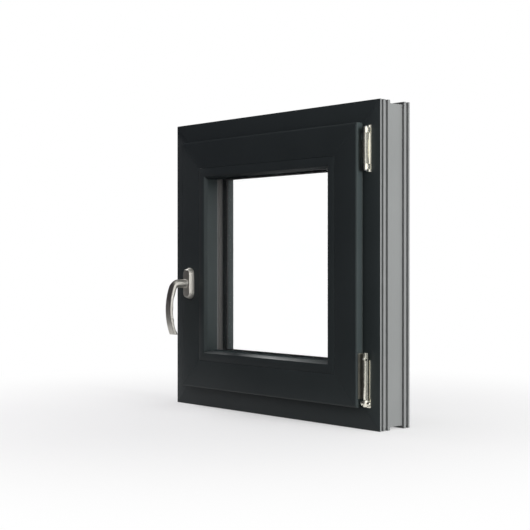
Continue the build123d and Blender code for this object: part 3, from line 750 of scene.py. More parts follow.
def worked(
    name, base, rough, grain, stretch=(1, 1, 1), shade=0.1, spread=0.05, bump=0.1, depth=0.0001,
    metal=0.0, specular=0.5, cloud=9.0, matt_from=1.0
):
    """A worked finish: grain and clouds in colour and gloss, and a bump from the grain."""
    material = bpy.data.materials.new(name)
    material.use_nodes = True
    material.diffuse_color = (*base, 1)
    tree = material.node_tree
    at = output(tree, "TexCoord", "Object")
    laid = output(tree, "Mapping", "Vector", {"Vector": at, "Scale": stretch})
    fine = noise(tree, laid, grain, GRAIN_DETAIL, Roughness=GRAIN_ROUGHNESS)
    broad = noise(tree, at, cloud, CLOUD_DETAIL)
    both = maths(tree, "MULTIPLY", maths(tree, "ADD", fine, broad), 0.5)
    ramp = add_node(tree, "ValToRGB", {"Fac": both})
    for stop, end, level in zip(ramp.color_ramp.elements, NOISE_ENDS, (1 - shade, 1 + shade)):
        stop.position = end
        stop.color = (*[min(c * level, 1) for c in base], 1)
    shine = specular
    if matt_from < 1:
        facing = output(tree, "LayerWeight", "Facing", {"Blend": 0.5})
        shine = ranged(tree, facing, (matt_from, matt_from + MATT_SPAN), (specular, 0.0))
    feed(tree, tree.nodes["Principled BSDF"], {
        "Base Color": ramp.outputs["Color"],
        "Roughness": ranged(tree, both, NOISE_ENDS, (rough - spread, rough + spread)),
        "Normal": relief(tree, fine, bump, depth),
        "Metallic": metal,
        "Specular IOR Level": shine,
    })
    return material


RUBBER = dict(
    rough=0.62, grain=2200.0, shade=0.14, spread=0.08, bump=0.3, depth=0.00006, specular=0.4
)
# Each finish has its colour and what worked() is told. "along" stretches the grain along a bar.
FINISHES = {
    "anthracite_foil": dict(
        base="foil", along=0.35, rough=0.42, grain=2600.0, bump=0.25, depth=0.00004,
        specular=0.22, matt_from=0.5
    ),
    "bare_pvc": dict(
        base="pvc", along=0.04, rough=0.48, grain=1500.0, shade=0.07, spread=0.06, bump=0.15,
        depth=0.00003
    ),
    "grey_soft_pvc": dict(base="grey_rubber", **RUBBER),
    "black_rubber": dict(base="black_rubber", **RUBBER),
    "dark_grey_rubber": dict(base="dark_rubber", **RUBBER),
    "black_sealant": dict(base="sealant", **RUBBER),
    "satin_nickel": dict(
        base="handle", rough=0.13, grain=3800.0, shade=0.06, spread=0.03, bump=0.08,
        depth=0.00002, metal=1.0, cloud=40.0
    ),
    "hinge_plating": dict(
        base="hinge", rough=0.20, grain=3000.0, stretch=(1, 1, 0.1), shade=0.07, bump=0.05,
        depth=0.00002, metal=0.85, cloud=60.0
    ),
    # The leaf's plating, darkened with painted shade of the barrel, over a real hatched grain
    "dull_plating": dict(
        base="leaf", rough=0.5, grain=1500.0, stretch=(0.3, 0.3, 1.5), shade=0.22, spread=0.08,
        bump=0.3, depth=0.00008, metal=0.1, cloud=90.0
    ),
    # Near-black finish of the barrel's socket: painted shade in the hole
    "dark_steel": dict(
        base="socket", rough=0.5, grain=2400.0, shade=0.15, bump=0.2, depth=0.00004, metal=0.2
    ),
    "zinc_steel": dict(
        base="steel", rough=0.38, grain=2400.0, shade=0.14, spread=0.10, bump=0.2,
        depth=0.00004, metal=1.0, cloud=120.0
    ),
    "spacer_bar": dict(
        base="spacer", along=0.04, rough=0.5, grain=900.0, spread=0.06, bump=0.2, depth=0.00004,
        metal=0.2
    ),
    "block_plastic": dict(base="block", rough=0.45, grain=1800.0, bump=0.2),
    "hood_plastic": dict(base="foil", rough=0.45, grain=1600.0, shade=0.08, bump=0.2),
}


def finish(kind, upright=None):
    """A finish of the table, made once. On a bar, its grain runs level or upright."""
    settings = dict(FINISHES[kind])
    base = getattr(bpy.context.scene.window_finish, settings.pop("base"))
    along = settings.pop("along", 1)
    if upright is not None:
        kind += "_upright" if upright else "_level"
        settings["stretch"] = (1, 1, along) if upright else (along, 1, 1)
    return bpy.data.materials.get(kind) or worked(kind, base, **settings)


# Drying holes of the spacer, painted as dark dots of painted shade: their rows from its middle, in
# its widths, and radius in pitches
HOLE_ROW = 0.2
HOLE_RADIUS = 0.17
# Near-black of the painted shade inside each drying hole
HOLE_PAINTED_SHADE = (0.01, 0.01, 0.01, 1)


def spacer_bar(upright):
    """Matt spacer bar with two rows of drying holes along it, painted as near-black dots: painted
    shade inside the holes.
    """
    material = finish("spacer_bar", upright)
    tree = material.node_tree
    pitch = bpy.context.scene.window_glazing.hole_pitch
    low, high = box_of("glass_spacer")
    at = add_node(tree, "SeparateXYZ", {0: output(tree, "TexCoord", "Object")}).outputs
    run = maths(tree, "FRACT", maths(tree, "DIVIDE", at[2 if upright else 0], pitch))
    run = maths(tree, "MULTIPLY", maths(tree, "SUBTRACT", run, 0.5), pitch)
    side = maths(tree, "ABSOLUTE", maths(tree, "SUBTRACT", at[1], (low.y + high.y) / 2))
    side = maths(tree, "SUBTRACT", side, (high.y - low.y) * HOLE_ROW)
    squares = [maths(tree, "POWER", way, 2.0) for way in (run, side)]
    reach = maths(tree, "SQRT", maths(tree, "ADD", *squares))
    hole_painted_shade = maths(tree, "LESS_THAN", reach, pitch * HOLE_RADIUS)
    shader = tree.nodes["Principled BSDF"]
    plain = shader.inputs["Base Color"].links[0].from_socket
    # Painted shade: near-black dots where the drying holes are
    mix = output(tree, "Mix", 2, {0: hole_painted_shade, 6: plain, 7: HOLE_PAINTED_SHADE}, data_type="RGBA")
    feed(tree, shader, {"Base Color": mix})
    return material


# Refractive index of glass, the share of its gloss that is kept, its roughness and faint tint,
# and scale, detail, strength and depth of the slight waves in its surface
GLASS_INDEX = 1.5
GLASS_GLOSS = 0.7
GLASS_ROUGHNESS = 0.02
GLASS_TINT = (0.998, 1.0, 0.999, 1)
GLASS_WAVE = (3.0, 2.0)
GLASS_RELIEF = (0.05, 0.0004)


def float_glass():
    """Clear glass that lets the background through as it is, with the gloss of its surface."""
    if "float_glass" in bpy.data.materials:
        return bpy.data.materials["float_glass"]
    material, tree = bare_material("float_glass")
    wave = noise(tree, output(tree, "TexCoord", "Object"), *GLASS_WAVE)
    clear = output(tree, "BsdfTransparent", 0, {"Color": GLASS_TINT})
    inside = output(tree, "NewGeometry", "Backfacing")
    index = maths(tree, "MULTIPLY_ADD", inside, 1 / GLASS_INDEX - GLASS_INDEX, GLASS_INDEX)
    gloss = maths(tree, "MULTIPLY", output(tree, "Fresnel", 0, {"IOR": index}), GLASS_GLOSS)
    sheen = output(tree, "BsdfGlossy", 0, {
        "Color": gloss, "Roughness": GLASS_ROUGHNESS, "Normal": relief(tree, wave, *GLASS_RELIEF)
    })
    both = output(tree, "AddShader", 0, {0: clear, 1: sheen})
    feed(tree, tree.nodes["Material Output"], {"Surface": both})
    return material


def keep_node(name, material):
    """Leaves a CAD node in view and gives it a finish."""
    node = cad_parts[name]
    node.data.materials.clear()
    node.data.materials.append(material)


def dress(piece, materials, node, body="window", smooth=32.0):
    """Smooths a finished piece, dresses it and hangs it on its body in place of its node."""
    work_on(piece)
    bpy.ops.object.shade_smooth_by_angle(angle=radians(smooth))
    nothing_selected()
    kept = [face.material_index for face in piece.data.polygons]
    piece.data.materials.clear()
    for material in materials:
        piece.data.materials.append(material)
    piece.data.polygons.foreach_set("material_index", kept)
    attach(piece, body)
    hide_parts(node)


def dress_bars(bars, slot, nodes, *finishes):
    """Dresses the four bars round the window, with the grain along each."""
    for index, bar in enumerate(bars):
        dress(bar, [finish(name, index % 2 == 1) for name in finishes], nodes[index])


# Pieces
class PVC_WINDOW_OT_frame_bars(bpy.types.Operator):
    """Model the outer frame: sill, jambs and head of one ribbed section, mitred and welded"""

    bl_idname = "pvc_window.frame_bars"
    bl_label = "Frame bars"

    def execute(self, context):
        s = context.scene.window_frame
        stop = FRAME_OUT - s.stop
        first = (s.rib_room, s.rib_room + s.groove_room)
        second = (first[1] + s.rib_second, first[1] + s.rib_second + s.groove_second)
        last = (FRAME_OUT - s.rib_outer - s.groove_outer, FRAME_OUT - s.rib_outer)
        channel = (second[1] + s.rib_channel, last[0] - s.rib_channel_outer)
        depth = s.groove_depth
        solid = [(0, s.leg, 0, stop), (0, STOP_TIP, stop, FRAME_OUT)]
        hollow = [(0, depth, *groove) for groove in (first, second, last)]
        hollow.append((0, s.lip_thickness, *channel))
        hollow.append((s.lip_thickness, depth, channel[0] - s.lip, channel[1] + s.lip))
        piece = draw_section("sill_profile", solid, hollow)
        shift_corner((s.leg, stop), (s.leg - s.fall, stop), stay_out=stop / 3)
        round_section([
            (STOP_TIP, stop, s.stop_round, 4),
            (STOP_TIP, FRAME_OUT, s.stop_round, 4),
            (0, FRAME_OUT, s.edge_round, 2),
            (s.leg, 0, s.edge_round, 2),
            (0, 0, s.edge_round / 2, 2),
            *[(0, out, s.rib_round, 3) for out in (*first, *second, *channel, *last)],
        ])
        run_section(piece, s.weld)
        skin = s.edge_round / 3
        mark_faces(piece, lambda middle, corners: middle.z < depth + skin
                   and skin < middle.y < FRAME_OUT - skin)
        parts = ("sill", "jamb_right", "head", "jamb_left")
        bars = round_the_window(piece, [f"{part}_profile" for part in parts])
        nodes = ["frame_" + part for part in parts]
        dress_bars(bars, "frame_profile", nodes, "anthracite_foil", "bare_pvc")
        return {"FINISHED"}


class PVC_WINDOW_OT_sash_bars(bpy.types.Operator):
    """Model the opening sash: rails and stiles with overlap, glazing rebate and outer leg"""

    bl_idname = "pvc_window.sash_bars"
    bl_label = "Sash bars"

    def execute(self, context):
        s = context.scene.window_sash
        body, rebate, joint, lip_back = sash_places(context)
        leg_face = SASH_BACK - s.leg
        leg_tip = SIGHT_LINE - s.fall
        solid = [
            (SASH_EDGE, rebate, SASH_FACE, -s.seal_gap),
            (rebate, joint, SASH_FACE, lip_back),
            (body, rebate, -s.seal_gap, SASH_BACK),
            (body, SIGHT_LINE, leg_face, SASH_BACK),
        ]
        hollow = [
            (rebate - s.bead_foot, rebate, lip_back, lip_back + s.bead_foot + s.clearance * 2),
            (body, body + s.groove_depth, s.groove_from_face, s.groove_from_face + s.groove),
        ]
        piece = draw_section("sash_bottom_profile", solid, hollow)
        face_edge = SASH_EDGE + s.slope_in
        side_edge = SASH_FACE + s.slope_out
        shift_corner((SASH_EDGE, SASH_FACE), (face_edge, SASH_FACE), face_edge, side_edge)
        shift_corner((SIGHT_LINE, SASH_BACK), (leg_tip, SASH_BACK))
        round_section([
            (face_edge, SASH_FACE, s.edge_round, 2),
            (SASH_EDGE, side_edge, s.edge_round, 2),
            (SASH_EDGE, -s.seal_gap, s.edge_round, 2),
            (joint, SASH_FACE, s.joint_round, 2),
            (SIGHT_LINE, leg_face, s.edge_round, 2),
            (leg_tip, SASH_BACK, s.edge_round, 2),
            (body, SASH_BACK, s.edge_round, 2),
        ])
        run_section(piece, context.scene.window_frame.weld)
        bars = round_the_window(piece, [f"sash_{side}_profile" for side in SIDES])
        self.bore_handle(bars[3], context.scene.window_handle)
        nodes = ("sash_bottom_rail", "sash_stile_right", "sash_top_rail", "sash_stile_left")
        dress_bars(bars, "sash_profile", nodes, "anthracite_foil")
        return {"FINISHED"}

    def bore_handle(self, bar, s):
        """Bores the sash for the handle's spindle, under the rose."""
        rod("spindle_bore", (HANDLE_X, SASH_FACE, HANDLE_Z), s.bore, s.bore_depth * 2)
        drill(bar, leave())


def sash_places(context):
    """Distances in to the sash's body, glazing rebate and bead's joint, and the bead lip's back."""
    s = context.scene.window_sash
    body = context.scene.window_frame.leg + s.fitting_gap
    return body, body + s.body, SIGHT_LINE - s.bead_width, SASH_FACE + s.bead_lip


# A bead's mitre against the bars' welded one
BEAD_WELD = 0.6


class PVC_WINDOW_OT_beads(bpy.types.Operator):
    """Model the four glazing beads with their sloped edge and the foot that clips into the sash"""

    bl_idname = "pvc_window.beads"
    bl_label = "Glazing beads"

    def execute(self, context):
        s = context.scene.window_sash
        rebate, joint, lip_back = sash_places(context)[1:]
        base = rebate + s.clearance
        edge = joint + s.clearance
        piece = draw_section("bead_bottom_profile", [
            (edge, SIGHT_LINE, SASH_FACE, BEAD_BACK),
            (base, edge, lip_back, BEAD_BACK),
            (base - s.bead_foot + s.clearance * 2, base, lip_back, lip_back + s.bead_foot),
        ])
        round_section([
            (SIGHT_LINE, SASH_FACE, s.bead_slope, 1),
            (SIGHT_LINE - s.bead_slope, SASH_FACE, s.bead_round, 3),
            (SIGHT_LINE, SASH_FACE + s.bead_slope, s.bead_round, 3),
            (edge, SASH_FACE, s.joint_round, 2),
            (SIGHT_LINE, BEAD_BACK, s.edge_round, 2),
        ])
        run_section(piece, context.scene.window_frame.weld * BEAD_WELD)
        bars = round_the_window(piece, [f"bead_{side}_profile" for side in SIDES])
        dress_bars(bars, "glazing_bead", ["bead_" + side for side in SIDES], "anthracite_foil")
        return {"FINISHED"}


class PVC_WINDOW_OT_gaskets(bpy.types.Operator):
    """Model the glazing gaskets and give the sash seals their rubber"""

    bl_idname = "pvc_window.gaskets"
    bl_label = "Gaskets"

    def execute(self, context):
        s = context.scene.window_glazing
        tip = SIGHT_LINE - s.setback
        soft, crisp = (s.lip_round, 3), (s.back_round, 2)
        for name, node, slot, rubber, near, far in (
            ("room", "bead_gasket", "grey_gasket", "grey_soft_pvc", soft, crisp),
            ("outside", "outer_glazing_gasket", "black_gasket", "black_rubber", crisp, soft),
        ):
            low, high = box_of(node)
            ring = ring_of(
                f"glazing_seal_{name}", [(SIGHT_LINE - s.lip, tip, low.y, high.y)],
                [(tip, low.y, *near), (tip, high.y, *far)]
            )
            dress(ring, [finish(rubber)], node)
        keep_node("overlap_gasket", finish("dark_grey_rubber"))
        keep_node("outer_stop_gasket", finish("black_rubber"))
        return {"FINISHED"}


class PVC_WINDOW_OT_glass_unit(bpy.types.Operator):
    """Model the double glazing: panes, spacer bar, edge seal and setting blocks"""

    bl_idname = "pvc_window.glass_unit"
    bl_label = "Glass unit"

    def execute(self, context):
        s = context.scene.window_glazing
        for side in ("inner", "outer"):
            node = f"glass_{side}_pane"
            pane = plate(f"{side}_pane_sheet", *box_of(node), s.arris)
            dress(pane, [float_glass()], node)
        low, high = box_of("glass_spacer")
        edge = box_of("glass_edge_seal")[0].z
        tip = low.z + s.spacer
        shoulder = tip - s.spacer_round
        room, outside = low.y + s.butyl, high.y - s.butyl
        bar = ring_of(
            "spacer_bar_ring", [(low.z, tip, room, outside)],
            [(tip, out, s.spacer_round, 3) for out in (room, outside)]
        )
        mark_faces(bar, lambda middle, corners: abs(middle.x) > abs(middle.z - HEIGHT / 2))
        dress(bar, [spacer_bar(False), spacer_bar(True)], "glass_spacer")
        seal = ring_of("edge_sealant", [
            (edge, low.z, low.y, high.y),
            (low.z, shoulder, low.y, room),
            (low.z, shoulder, outside, high.y),
        ])
        dress(seal, [finish("black_sealant")], "glass_edge_seal")
        keep_node("setting_blocks", finish("block_plastic"))
        return {"FINISHED"}


class PVC_WINDOW_OT_rose(bpy.types.Operator):
    """Model the handle's rose, a stadium plate with a sloped rim, and finish its spindle"""

    bl_idname = "pvc_window.rose"
    bl_label = "Handle rose"

    def execute(self, context):
        s = context.scene.window_handle
        size = ROSE_HIGH - ROSE_LOW
        middle = Vector((HANDLE_X, SASH_FACE, HANDLE_Z))
        start(
            "handle_backplate", bpy.ops.mesh.primitive_plane_add, size=1, location=middle,
            rotation=TO_ROOM
        )
        grow((size.x, 1, size.z), middle)
        everything()
        # Just under half the width, so that the two ends stay round and the sides straight
        bevel(size.x * 0.4999, 16, "VERTICES", profile=0.5)
        everything()
        bpy.ops.mesh.remove_doubles(threshold=CORNER)
        everything()
        extrude(y=-s.rose_foot)
        bpy.ops.mesh.inset(thickness=s.rose_draft)
        move(y=ROSE_LOW.y - SASH_FACE + s.rose_foot)
        tidy_mesh()
        pick_edges(lambda a, b: max(abs(a.y - ROSE_LOW.y), abs(b.y - ROSE_LOW.y)) < NEAR)
        bevel(s.rose_slope, 1)
        front = (SASH_FACE + ROSE_LOW.y) / 2
        pick_edges(lambda a, b: max(a.y, b.y) < front and abs(a.y - b.y) < NEAR)
        bevel(s.rose_break)
        dress(close_piece(), [finish("satin_nickel")], "handle_rose", smooth=22.0)
        keep_node("handle_spindle", finish("zinc_steel"))
        return {"FINISHED"}


# Behind the grip's middle, it narrows towards the sash from these depths on
TAPER_DEPTHS = (0.001, 0.003)
# The bow is drawn this much too far, in radians, and then cut off level
PAST_END = 0.08
# Rings of the neck before the rose. The second one starts the collar and the rest are its length.
COLLAR_STEPS = (0.0012, 0.0003, 0.0008, 0.0020, 0.0007)
# Points belong to a ring within this turn, to the inner flat within this depth,
# and to the elbow within this reach
RING_TURN = 1e-3
FLAT_DEPTH = 6e-4
ELBOW_REACH = 0.03


class PVC_WINDOW_OT_lever(bpy.types.Operator):
    """Model the handle's lever: round neck, elbow and bowed grip with finger hollows"""

    bl_idname = "pvc_window.lever"
    bl_label = "Handle lever"

    def execute(self, context):
        s = context.scene.window_handle
        bow_radius = s.bow_radius - s.thickness / 2
        bow = Vector((HANDLE_X, LEVER_LOW.y + s.bow_radius, HANDLE_Z - s.bow_below))
        half_width = (LEVER_HIGH.x - LEVER_LOW.x) / 2
        half_thick = s.thickness / 2
        first = bow + Vector((0, -bow_radius, 0))
        piece = start(
            "handle_grip", bpy.ops.mesh.primitive_circle_add, vertices=s.points,
            radius=half_width, location=first
        )
        grow((1, s.bulge, 1), first)
        for side in (-1, 1):
            flat = first.y + side * half_thick
            pick_points(lambda p: (p.y - flat) * side > 0)
            grow((1, 0, 1), (first.x, flat, first.z))
        pick_points(lambda p: p.y > first.y + half_thick - NEAR)
        grow((s.inner_flat, 1, 1), first)
        for depth in TAPER_DEPTHS:
            pick_points(lambda p: p.y > first.y + depth)
            grow((s.inner_taper, 1, 1), first)
        # Down the bow from its middle
        end_turn = asin((s.drop - s.bow_below) / bow_radius) + PAST_END
        everything()
        self.spin(s.bow_steps, end_turn, bow, -1)
        # Up the bow to the elbow, then round the elbow to the neck
        rise = s.bow_below - s.elbow_radius
        reach = sqrt((bow_radius - s.elbow_radius) ** 2 - rise**2)
        elbow = bow + Vector((0, -reach, rise))
        elbow_start = atan2(rise, reach)
        elbow_turn = pi / 2 - elbow_start
        pick_points(lambda p: abs(p.z - first.z) < NEAR)
        self.spin(s.top_steps, elbow_start, bow, 1)
        self.spin(s.elbow_steps, elbow_turn, elbow, 1)
        tidy_mesh()
        self.scallop(s, bow, bow_radius, half_thick)
        self.ease_elbow(s, elbow, elbow_start, elbow_turn, half_thick, half_width)
        self.neck(s, elbow)
        self.close_end(s)
        apply_modifier(piece, "SUBSURF", levels=2, render_levels=2)
        nickel = [finish("satin_nickel")]
        dress(piece, nickel, "handle_lever", body="handle", smooth=60.0)
        return {"FINISHED"}

    def spin(self, steps, turn, about, way):
        """Spins the ring in hand about a level axis across the grip."""
        bpy.ops.mesh.spin(steps=steps, angle=turn, center=about, axis=(way, 0, 0))

    def scallop(self, s, bow, bow_radius, half_thick):
        """Presses the finger hollows into the flat that faces the sash."""
        def turn_of(p):
            return atan2(p.z - bow.z, bow.y - p.y)

        def reach_of(p):
            return (p.yz - bow.yz).length

        inner = bow_radius - half_thick
        middles = pick_points(lambda p: abs(reach_of(p) - bow_radius) < LOOSE and p.y < bow.y)
        for turn in sorted({round(turn_of(p), 5) for p in middles}):
            below = s.bow_below - bow_radius * sin(turn)
            away = min(
                abs(below - s.scallop_first - index * s.scallop_pitch)
                for index in range(s.scallops)
            )
            hollow = s.scallop_depth * max(0.0, 1 - (away / (s.scallop_pitch / 2)) ** 2)
            if hollow < LOOSE:
                continue
            pick_points(lambda p: abs(turn_of(p) - turn) < RING_TURN and p.y < bow.y
                        and abs(reach_of(p) - inner) < FLAT_DEPTH)
            move(y=-hollow * cos(turn), z=hollow * sin(turn))

    def ease_elbow(self, s, elbow, first, turn, half_thick, half_width):
        """Turns the flattened grip into the round neck, ring by ring."""
        for step in range(1, s.elbow_steps + 1):
            part = step / s.elbow_steps
            at = first + turn * part
            way = Vector((0, -cos(at), sin(at)))
            middle = elbow + s.elbow_radius * way

            def on_ring(p):
                away = p - elbow
                across = abs(away.cross(way).x) < LOOSE
                return across and away.dot(way) > 0 and away.length < ELBOW_REACH

            ring = pick_points(on_ring)
            mean = sum((p - middle).length for p in ring) / len(ring)
            thick = half_thick + (s.neck_radius - half_thick) * part**0.5
            wide = half_width + (s.neck_radius - half_width) * part
            ratio = thick / wide
            share = ratio * half_width - half_thick
            share /= mean - half_thick + ratio * (half_width - mean)
            share = min(max(share, 0.0), 1.0)
            bpy.ops.transform.tosphere(value=share)
            size = wide / (half_width + (mean - half_width) * share)
            grow((size, size, size), middle)

    def neck(self, s, elbow):
        """Draws the neck out to the rose, with a small collar."""
        middle = Vector((HANDLE_X, elbow.y, HANDLE_Z))

        def at_neck(p):
            return abs(p.y - elbow.y) < LOOSE and (p - middle).length < s.neck_radius * SLACK

        pick_edges(lambda a, b: at_neck(a) and at_neck(b))
        plain = ROSE_LOW.y - s.neck_gap - elbow.y - sum(COLLAR_STEPS)
        for index, distance in enumerate((plain, *COLLAR_STEPS)):
            middle.y += distance
            extrude(y=distance)
            if index == 2:
                wider = 1 + s.collar / s.neck_radius
                grow((wider, 1, wider), middle)
        bpy.ops.mesh.edge_face_add()
        bpy.ops.mesh.inset(thickness=s.neck_land)

    def close_end(self, s):
        """Cuts the grip off level and closes it with a softly rounded end."""
        level = HANDLE_Z - s.drop
        cut((HANDLE_X, 0, level), (0, 0, -1), clear_outer=True, use_fill=True)
        pick_faces(lambda middle, normal: abs(middle.z - level) < NEAR)
        bpy.ops.mesh.inset(thickness=s.end_round)
        cut((HANDLE_X, 0, level + s.end_round), (0, 0, -1))
        tidy_mesh(merge=NEAR * 2)


def facing(turn):
    """The way that a turn from the room towards the hinge side looks."""
    return Vector((sin(turn), -cos(turn), 0))


def barrel_of(name, low, high, s):
    """A hinge's barrel with the long flat that looks past the frame's edge."""
    radius = high.x - HINGE_X
    barrel = turned(name, low.z, high.z, radius, s.edge)
    away = facing(s.flat_turn)
    edit(barrel)
    at = Vector((HINGE_X, HINGE_Y, 0)) + away * radius * s.flat_share
    cut(at, away, clear_outer=True, use_fill=True)
    tidy_mesh()
    return leave()


class PVC_WINDOW_OT_top_hinge(bpy.types.Operator):
    """Model the top hinge: bracket with eyes on the frame, sleeve with strap on the sash, pin"""

    bl_idname = "pvc_window.top_hinge"
    bl_label = "Top hinge"

    def execute(self, context):
        s = context.scene.window_hinge
        low, high = box_of("top_hinge_bracket")
        barrel_low, barrel_high = box_of("top_hinge_sleeve")
        plate_low, plate_high = low.z + s.ear, high.z - s.ear
        bracket = plate(
            "top_hinge_support", (low.x, -s.plate, plate_low), (high.x, 0, plate_high),
            s.edge, s.corner
        )
        block("bar", (high.x - s.bar, -s.bar_proud, plate_low - s.edge),
              (high.x, 0, plate_high + s.edge))
        pick_edges(lambda a, b: min(a.x, b.x) > high.x - NEAR
                   and max(a.y, b.y) < NEAR - s.bar_proud)
        bevel(s.bar_slope, 1)
        everything()
        bevel(s.edge / 2)
        unite(bracket, close_piece())
        for z_low, z_high in (
            (PIN_LOW.z + s.pin_head, barrel_low.z - s.knuckle_gap),
            (barrel_high.z + s.knuckle_gap, PIN_HIGH.z - s.pin_head),
        ):
            web = plate("web", (HINGE_X - s.top_eye / 2, HINGE_Y, z_low + s.edge),
                        (high.x - s.edge, -s.plate, z_high - s.edge), s.edge)
            unite(bracket, web, turned("eye", z_low, z_high, s.top_eye, s.edge))
        dress(bracket, [finish("hinge_plating")], "top_hinge_bracket")

        middle = (barrel_low.z + barrel_high.z) / 2
        strap_low, strap_high = middle - s.strap_height / 2, middle + s.strap_height / 2
        strap_front, strap_back = -(s.strap_gap + s.strap) / 2, -(s.strap_gap - s.strap) / 2
        shelf = -s.plate - s.knuckle_gap
        riser = HINGE_X - s.edge
        edge_x = barrel_low.x
        strap = []
        for name, x, x_high, y, y_high in (
            ("riser", riser - s.strap, riser, HINGE_Y, shelf),
            ("shelf", low.x - s.strap * 2, riser - STEP, shelf - s.strap * 0.8, shelf - STEP),
            ("foot", edge_x, low.x - s.strap * 0.5, strap_front, strap_back - STEP),
            ("return", edge_x, edge_x + s.strap, strap_front + STEP, barrel_high.y),
        ):
            back = len(strap) * STEP
            strap.append(plate(
                name, (x, y, strap_low + back), (x_high, y_high, strap_high - back), s.edge
            ))
        sleeve = barrel_of("top_hinge_barrel", barrel_low, barrel_high, s)
        unite(sleeve, *strap)
        dress(sleeve, [finish("hinge_plating")], "top_hinge_sleeve")

        pin = turned(
            "top_hinge_bolt", PIN_LOW.z + s.edge, PIN_HIGH.z - s.edge, s.pin_radius, s.edge
        )
        for z in (PIN_LOW.z, PIN_HIGH.z - s.pin_head):
            unite(pin, turned("head", z, z + s.pin_head, PIN_HIGH.x - HINGE_X, s.edge, s.edge))
        dress(pin, [finish("zinc_steel")], "top_hinge_pin")
        return {"FINISHED"}


class PVC_WINDOW_OT_bottom_hinge(bpy.types.Operator):
    """Model the bottom hinge: leaf and ringed barrel, corner bearing, post, height screw and pin"""

    bl_idname = "pvc_window.bottom_hinge"
    bl_label = "Bottom hinge"

    def execute(self, context):
        s = context.scene.window_hinge
        plating = [finish("hinge_plating")]
        low, high = box_of("bottom_hinge_leaf")
        leaf = plate(
            "bottom_hinge_flap", low, (low.x + s.strap, high.y, high.z), s.edge, s.leaf_corner, "x"
        )
        web = plate("web", (low.x + s.edge, high.y - s.strap, low.z + s.edge),
                    (HINGE_X, high.y - STEP, high.z - s.edge), s.edge)
        unite(leaf, web)
        # The leaf's darker plating is painted shade of the barrel
        dress(leaf, [finish("dull_plating")], "bottom_hinge_leaf")
        self.barrel(s)
        self.bearing(s)
        post = plate("hinge_post", *box_of("bottom_hinge_post"), s.edge, s.corner, "x")
        dress(post, plating, "bottom_hinge_post")
        keep_node("bottom_hinge_pin", finish("zinc_steel"))
        return {"FINISHED"}

    def barrel(self, s):
        """The ringed barrel with its socket, and the height screw on its boss."""
        low, high = box_of("bottom_hinge_sleeve")
        radius = high.x - HINGE_X
        barrel = barrel_of("bottom_hinge_barrel", low, high, s)
        edit(barrel)
        ring = low.z + s.ring_above
        for level in (ring, ring + s.ring):
            cut_level(level)
        pick_faces(lambda middle, normal: ring < middle.z < ring + s.ring and abs(normal.z) < 0.5)
        bpy.ops.mesh.extrude_region_shrink_fatten(
            TRANSFORM_OT_shrink_fatten={"value": -s.ring_depth}
        )
        tidy_mesh()
        leave()
        screw_low, screw_high = box_of("bottom_hinge_screw")
        seat = (screw_low + screw_high) / 2
        seat.x = HINGE_X
        unite(barrel, knob("boss", seat, s.boss_radius, screw_high.y - screw_low.y, s.edge))
        away = facing(s.socket_turn)
        mouth = Vector((HINGE_X, HINGE_Y, seat.z - s.socket)) + away * radius
        rod("socket", mouth, s.socket, s.socket_depth * 2, 24, (pi / 2, 0, s.socket_turn))
        drill(barrel, leave())

        def in_socket(point):
            way = point - mouth
            deep = way.dot(away)
            across = (way - away * deep).length
            return across < s.socket * SLACK and abs(deep) < s.socket_depth * SLACK

        # The socket's inner faces get the near-black finish: painted shade in the hole
        mark_faces(barrel, lambda middle, corners: all(in_socket(point) for point in corners))
        metals = [finish("hinge_plating"), finish("dark_steel")]
        dress(barrel, metals, "bottom_hinge_sleeve")
        # A countersunk head with a round socket
        size = s.screw_radius
        rod("height_screw", (HINGE_X, screw_low.y + s.screw_back, seat.z), size, size, 24)
        pick_faces(lambda middle, normal: normal.y < -ALONG_AXIS)
        bpy.ops.mesh.inset(thickness=size * SCREW_SLOPE)
        move(y=-s.screw_sink)
        bpy.ops.mesh.inset(thickness=size * SCREW_RIM)
        extrude(y=size * SCREW_DEPTH)
        dress(close_piece(), [finish("zinc_steel")], "bottom_hinge_screw")

    def bearing(self, s):
        """The corner bearing: plate, cup and neck, and a lug on either side."""
        low, high = box_of("bottom_hinge_bearing")
        cup_high = box_of("bottom_hinge_sleeve")[0].z - s.knuckle_gap
        cup_low = cup_high - s.cup_height
        neck_half = s.cup_radius - s.cup_edge
        bearing = plate(
            "corner_bearing", (HINGE_X - s.bearing_half, -s.plate, low.z),
            (HINGE_X + s.bearing_half, 0, high.z), s.edge, s.bearing_corner
        )
        cup = turned("cup", cup_low, cup_high, s.cup_radius, s.cup_edge)
        neck = plate("neck", (HINGE_X - neck_half, HINGE_Y, cup_low + s.cup_edge),
                     (HINGE_X + neck_half, -s.plate / 2, cup_high - s.cup_edge), s.edge)
        unite(bearing, cup, neck)
        for end in (-1, 1):
            middle = (HINGE_X + end * s.lug_spread, s.lug_length / 2 - s.lug_proud,
                      (low.z + high.z) / 2)
            unite(bearing, knob("lug", middle, s.lug_radius, s.lug_length, s.edge * 2))
        dress(bearing, [finish("hinge_plating")], "bottom_hinge_bearing")


class PVC_WINDOW_OT_drainage_caps(bpy.types.Operator):
    """Model the two hoods over the drainage slots outside"""

    bl_idname = "pvc_window.drainage_caps"
    bl_label = "Drainage caps"

    def execute(self, context):
        s = context.scene.window_outside
        low, high = box_of("drainage_caps")
        end = low.x + s.cap_length
        cap = plate(
            "outside_hoods", low, (end, high.y, high.z), s.cap_edge, (high.y - low.y) / 2
        )
        edit(cap)
        pick_faces(lambda middle, normal: normal.y > ALONG_AXIS and middle.y > high.y - NEAR)
        bpy.ops.mesh.inset(thickness=s.cap_rim)
        move(y=-s.cap_dish)
        tidy_mesh()
        wall = s.cap_shell
        hollow = plate("hollow", (low.x + wall, low.y + wall, low.z - wall),
                       (end - wall, high.y - wall, high.z - wall), s.cap_inner_edge)
        drill(cap, hollow)
        twin = copy_piece(cap, "outside_hoods_twin")
        twin.data.transform(Matrix.Translation((high.x - end, 0, 0)))
        cap = join([cap, twin])
        dress(cap, [finish("hood_plastic")], "drainage_caps")
        return {"FINISHED"}


